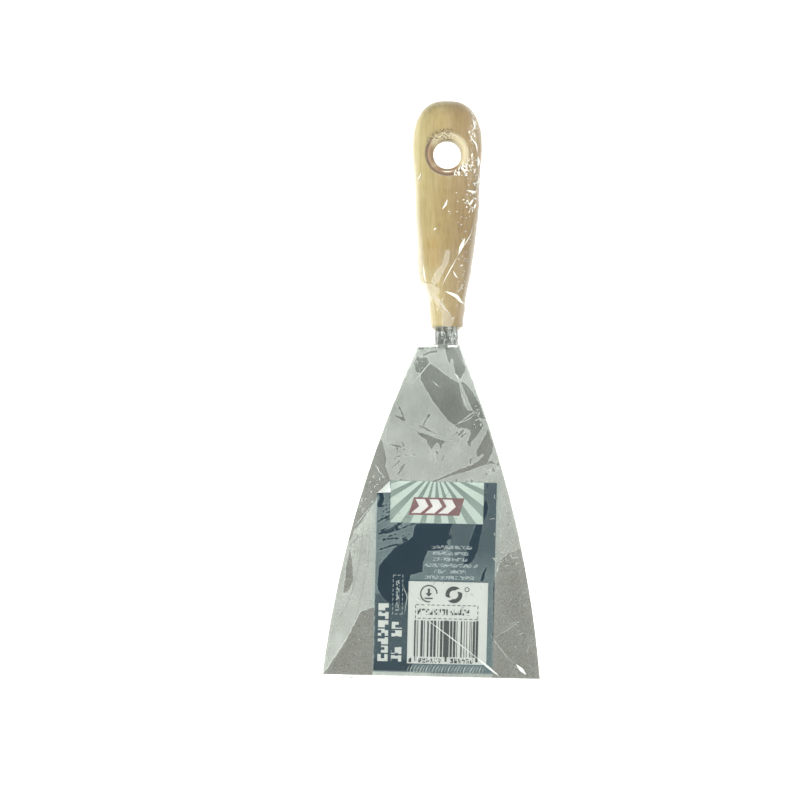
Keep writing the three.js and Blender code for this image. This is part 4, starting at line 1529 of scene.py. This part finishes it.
def scatter_squiggles(folds):
    """Little curved creases, seeded so that they fall the same way each time."""
    dice = random.Random(WRINKLE_SEED)
    for surface, middle, spread, count, length, veil in SQUIGGLES:
        place = on_handle if surface == "handle" else on_blade
        for _ in range(count):
            a = middle[0] + spread[0] * dice.uniform(-1, 1)
            b = middle[1] + spread[1] * dice.uniform(-1, 1)
            heading = dice.uniform(0, 2 * math.pi)
            reach = length * dice.uniform(0.4, 1.3)
            line = [(a, b)]
            for _ in range(3):
                heading += dice.uniform(-0.9, 0.9)
                a += reach / 3 * math.cos(heading)
                b += reach / 3 * math.sin(heading)
                line.append((a, b))
            width = dice.uniform(0.25, 0.55)
            fits = fits_handle if surface == "handle" else fits_blade
            if all(fits(*point) for point in line):
                folds.crease(line, width, place, veil * dice.uniform(0.7, 1.0))


def fits_handle(x, y):
    """Whether a point of the handle's frame lies well within the front of the handle or the neck."""
    if y < 0:
        return abs(x) < TANG_RADIUS * 0.95 and -6.5 < y < -0.8
    on_wood = abs(x) < handle_section(y, 0)[0] * 0.97 and y > 0.5
    from_hole = math.hypot(x, y - HOLE_AT)
    torn = x > 2 and y < HOLE_AT - 1 and from_hole > HOLE_RADIUS + 0.9
    return on_wood and (from_hole > FILM_OPENING + 0.3 or torn)


def fits_blade(u, v):
    """Whether a point of the blade's frame lies well within its front."""
    return abs(u) < blade_half_width(min(v, BLADE_LENGTH)) - 0.3 and 0.5 < v < BLADE_LENGTH - 0.4


def label_streaks(folds):
    """Fine slanted streaks where the film is stretched over the label's bottom edge."""
    for u in np.arange(-9, 19, STREAK_SPACING):
        lean = 1.5 + 0.4 * math.sin(u)
        line = [(u + lean, 116.7), (u + 0.5 * lean, 117.8), (u + 0.1 * lean, 119), (u, 120.4)]
        folds.crease(line, 0.4, on_blade, 0.24 + 0.1 * math.sin(2.3 * u))


def hole_rims(folds):
    """The film's burst edge, rolled into a bead round each mouth of the hole and thicker below it."""
    turns = np.linspace(0, 2 * math.pi, 96, endpoint=False)
    bead_sides = 10
    for side in (1, -1):
        points = []
        for turn in turns:
            radius = FILM_OPENING - 0.1 + 0.18 * math.sin(5 * turn + 1)
            lower = float(soft_step(-math.sin(turn + 0.1), 0.8, 1))
            bead = 0.05 + 0.12 * lower + 0.03 * math.sin(9 * turn) * lower
            x = radius * math.cos(turn)
            y = HOLE_AT + radius * math.sin(turn)
            half_width, half_depth, power = handle_section(y, FILM_GAP)
            z = half_depth * arch(x / half_width, power)
            for around in np.linspace(0, 2 * math.pi, bead_sides, endpoint=False):
                out = bead * math.cos(around)
                points.append((
                    x + out * math.cos(turn),
                    y + out * math.sin(turn),
                    side * (z - 0.05 + bead * math.sin(around)),
                ))
        start = sum(len(part) for part in folds.points)
        *faces, first, last = tube_faces(len(turns), bead_sides)
        first = first[::-1]
        joins = zip(last, last[1:] + last[:1], first[1:] + first[:1], first)
        folds.points.append(np.array(points))
        folds.faces += shifted(faces + [list(join) for join in joins], start)
        folds.veil += [0.2] * len(points)


def back_seal(folds):
    """The welded seam that runs down the back of the wrap, pressed flat."""
    half_width = 1.4
    thickness = 0.12
    down = np.linspace(8, 119, 90)
    middle = 5 + 0.8 * np.sin(down * 0.06)
    height = FILM_BACK - thickness - 0.04 * np.sin(down * 1.3)
    left = blade_to_tool(middle - half_width, down, height)
    right = blade_to_tool(middle + half_width, down, height)
    folds.add(left, right, blade_to_tool(middle, down, height - thickness), 0.25)


def make_film():
    """The whole film: its shell and every crease, bead and seam on it, in one mesh."""
    points, faces, numbers = make_film_shell()
    faces = open_at_hole(points, faces)
    folds = Folds()
    for line, width, veil in BLADE_CREASES:
        folds.crease(line, width, on_blade, veil)
    for line, width, veil in HANDLE_CREASES:
        folds.crease(line, width, on_handle, veil)
    scatter_squiggles(folds)
    label_streaks(folds)
    hole_rims(folds)
    back_seal(folds)
    added = np.concatenate(folds.points)
    faces += shifted(folds.faces, len(points))
    numbers["lit"] = np.concatenate([numbers["lit"], np.full(len(added), -1.0)])
    for key in ("level", "over_card"):
        numbers[key] = np.concatenate([numbers[key], np.zeros(len(added))])
    numbers["veil"] = np.concatenate([numbers["veil"], folds.veil])
    made = mesh_object("shrink_wrap", np.concatenate([points, added]), faces, numbers)
    work = bmesh.new()
    work.from_mesh(made.data)
    loose = [vert for vert in work.verts if not vert.link_faces]
    bmesh.ops.delete(work, geom=loose, context="VERTS")
    bmesh.ops.recalc_face_normals(work, faces=work.faces)
    work.to_mesh(made.data)
    work.free()
    smooth(made, 50)
    return made


def film_material():
    """Clear glossy film, milky where it lies flat with a painted reflection in that haze, and white along
    its creases with painted highlights.
    """
    made, tree, surface = new_material("clear_film")
    y = position_mm(tree)[1]
    level = number_attribute(tree, "level")
    soft = grain(tree, (0.25, 0.09, 0.25), detail=3, seed=12.1)
    frost = grain(tree, (3, 1.2, 3), detail=3, seed=15.4)
    small_shards = shards(tree, (1.1, 0.7, 1.1), 4.2)
    large_shards = shards(tree, (0.3, 0.14, 0.3), 7.9)
    ragged = number_attribute(tree, "lit") + (frost - 0.5) * 0.3 + (small_shards - 0.5) * 0.3
    # Painted reflection: outside the clear facets, a diffuse white haze stands in for the light that the
    # flat film reflects.
    patch = ragged.ramp(-0.06, 0.06) * level
    uneven = soft.ramp(0.3, 0.7, 0.93, 1.07) + (small_shards - 0.5) * 0.08 + (large_shards - 0.5) * 0.12
    # Painted highlight: a thin pale edge on the hazy side of each facet's border.
    rim = (abs(ragged - 0.25) < 0.2) * level * 0.25
    haze_and_reflection = patch * uneven + rim + number_attribute(tree, "veil")
    # The haze's colours, which carry the painted reflection: greenish over steel, bluer over the card and
    # cream over the wood.
    steel_tint = blend(tree, soft, (0.785, 0.86, 0.79), (0.85, 0.905, 0.85))
    blade_tint = blend(tree, number_attribute(tree, "over_card"), steel_tint, (0.64, 0.81, 0.79))
    on_wood = y.ramp(tool_origin.y * 1000 - 0.5, tool_origin.y * 1000)
    tint = blend(tree, on_wood, blade_tint, (0.95, 0.92, 0.82))
    clear = add_node(tree, "ShaderNodeBsdfTransparent", Color=(0.985, 0.99, 0.985))
    haze_and_reflection_shader = add_node(tree, "ShaderNodeBsdfDiffuse", Color=tint)
    gloss = add_node(
        tree, "ShaderNodeBsdfGlossy", Color=(1.0, 1.0, 1.0),
        Roughness=frost.ramp(0.3, 0.7, 0.12, 0.22),
        Normal=bump(tree, soft * 0.6 + frost * 0.1, 0.12, 0.5),
    )
    fresnel = add_node(tree, "ShaderNodeFresnel", IOR=1.47)
    body = mix_shaders(tree, haze_and_reflection, clear, haze_and_reflection_shader)
    film = mix_shaders(tree, fresnel.outputs[0], body, gloss)
    tree.links.new(film.outputs[0], surface)
    return made


film = make_film()
finish_piece(film, film_material(), "shrink_film")

# ---- Table and light ----


def make_table():
    """A large white table, which belongs to the stage and not to the part."""
    half = 3.0
    corners = [(-half, -half, 0), (half, -half, 0), (half, half, 0), (-half, half, 0)]
    mesh = bpy.data.meshes.new("table")
    mesh.from_pydata(corners, [], [[0, 1, 2, 3]])
    made = bpy.data.objects.new("table", mesh)
    bpy.context.collection.objects.link(made)
    paper, tree, surface = new_material("white_table")
    speckle = grain(tree, (0.2, 0.2, 0.2), seed=1.0)
    white = add_node(
        tree, "ShaderNodeBsdfPrincipled", Roughness=0.7,
        Base_Color=blend(tree, speckle, (0.88, 0.88, 0.88), (0.9, 0.9, 0.9)),
        Emission_Color=(1, 1, 1), Emission_Strength=0.9,
    )
    tree.links.new(white.outputs[0], surface)
    mesh.materials.append(paper)


def make_sky():
    """Even studio light that is paler towards the horizon, so that flat metal stays grey."""
    world = bpy.data.worlds.new("studio")
    bpy.context.scene.world = world
    world.use_nodes = True
    tree = world.node_tree
    tree.nodes.clear()
    direction = tree.nodes.new("ShaderNodeTexCoord")
    split = add_node(tree, "ShaderNodeSeparateXYZ", Vector=direction.outputs["Generated"])
    upwards = Wire(tree, split.outputs["Z"])
    light = add_node(tree, "ShaderNodeBackground", Color=(0.97, 1.0, 0.98))
    feed(tree, light.inputs["Strength"], upwards.ramp(0.1, 0.9, 1.0, 0.42))
    output = tree.nodes.new("ShaderNodeOutputWorld")
    tree.links.new(light.outputs[0], output.inputs["Surface"])


def softbox(name, place, width, height, radiance, colour):
    """A rectangular light that faces the middle of the tool."""
    data = bpy.data.lights.new(name, "AREA")
    data.shape = "RECTANGLE"
    data.size = width
    data.size_y = height
    data.energy = radiance * math.pi * width * height
    data.color = colour
    made = bpy.data.objects.new(name, data)
    bpy.context.collection.objects.link(made)
    made.location = place
    made.rotation_mode = "QUATERNION"
    made.rotation_quaternion = (-Vector(place)).to_track_quat("-Z", "Y")
    return made


make_table()
make_sky()
softbox("right_softbox", (1.0, 0.35, 0.7), 0.6, 0.9, 3.0, (0.97, 0.99, 1.0))
fills = [
    softbox("left_fill", (-1.15, 0.15, 0.6), 0.8, 1.3, 4.5, (1.0, 0.99, 0.95)),
    softbox("overhead_fill", (0, 0, 1.6), 1.3, 1.3, 3.55, (1.0, 1.0, 0.98)),
    softbox("end_fill", (0.1, 1.3, 0.8), 0.8, 0.8, 1.0, (1.0, 1.0, 0.98)),
]
for fill in fills:
    fill.visible_glossy = False  # they light wood and card without a glare on the film over them
bpy.context.scene.view_settings.view_transform = "Standard"
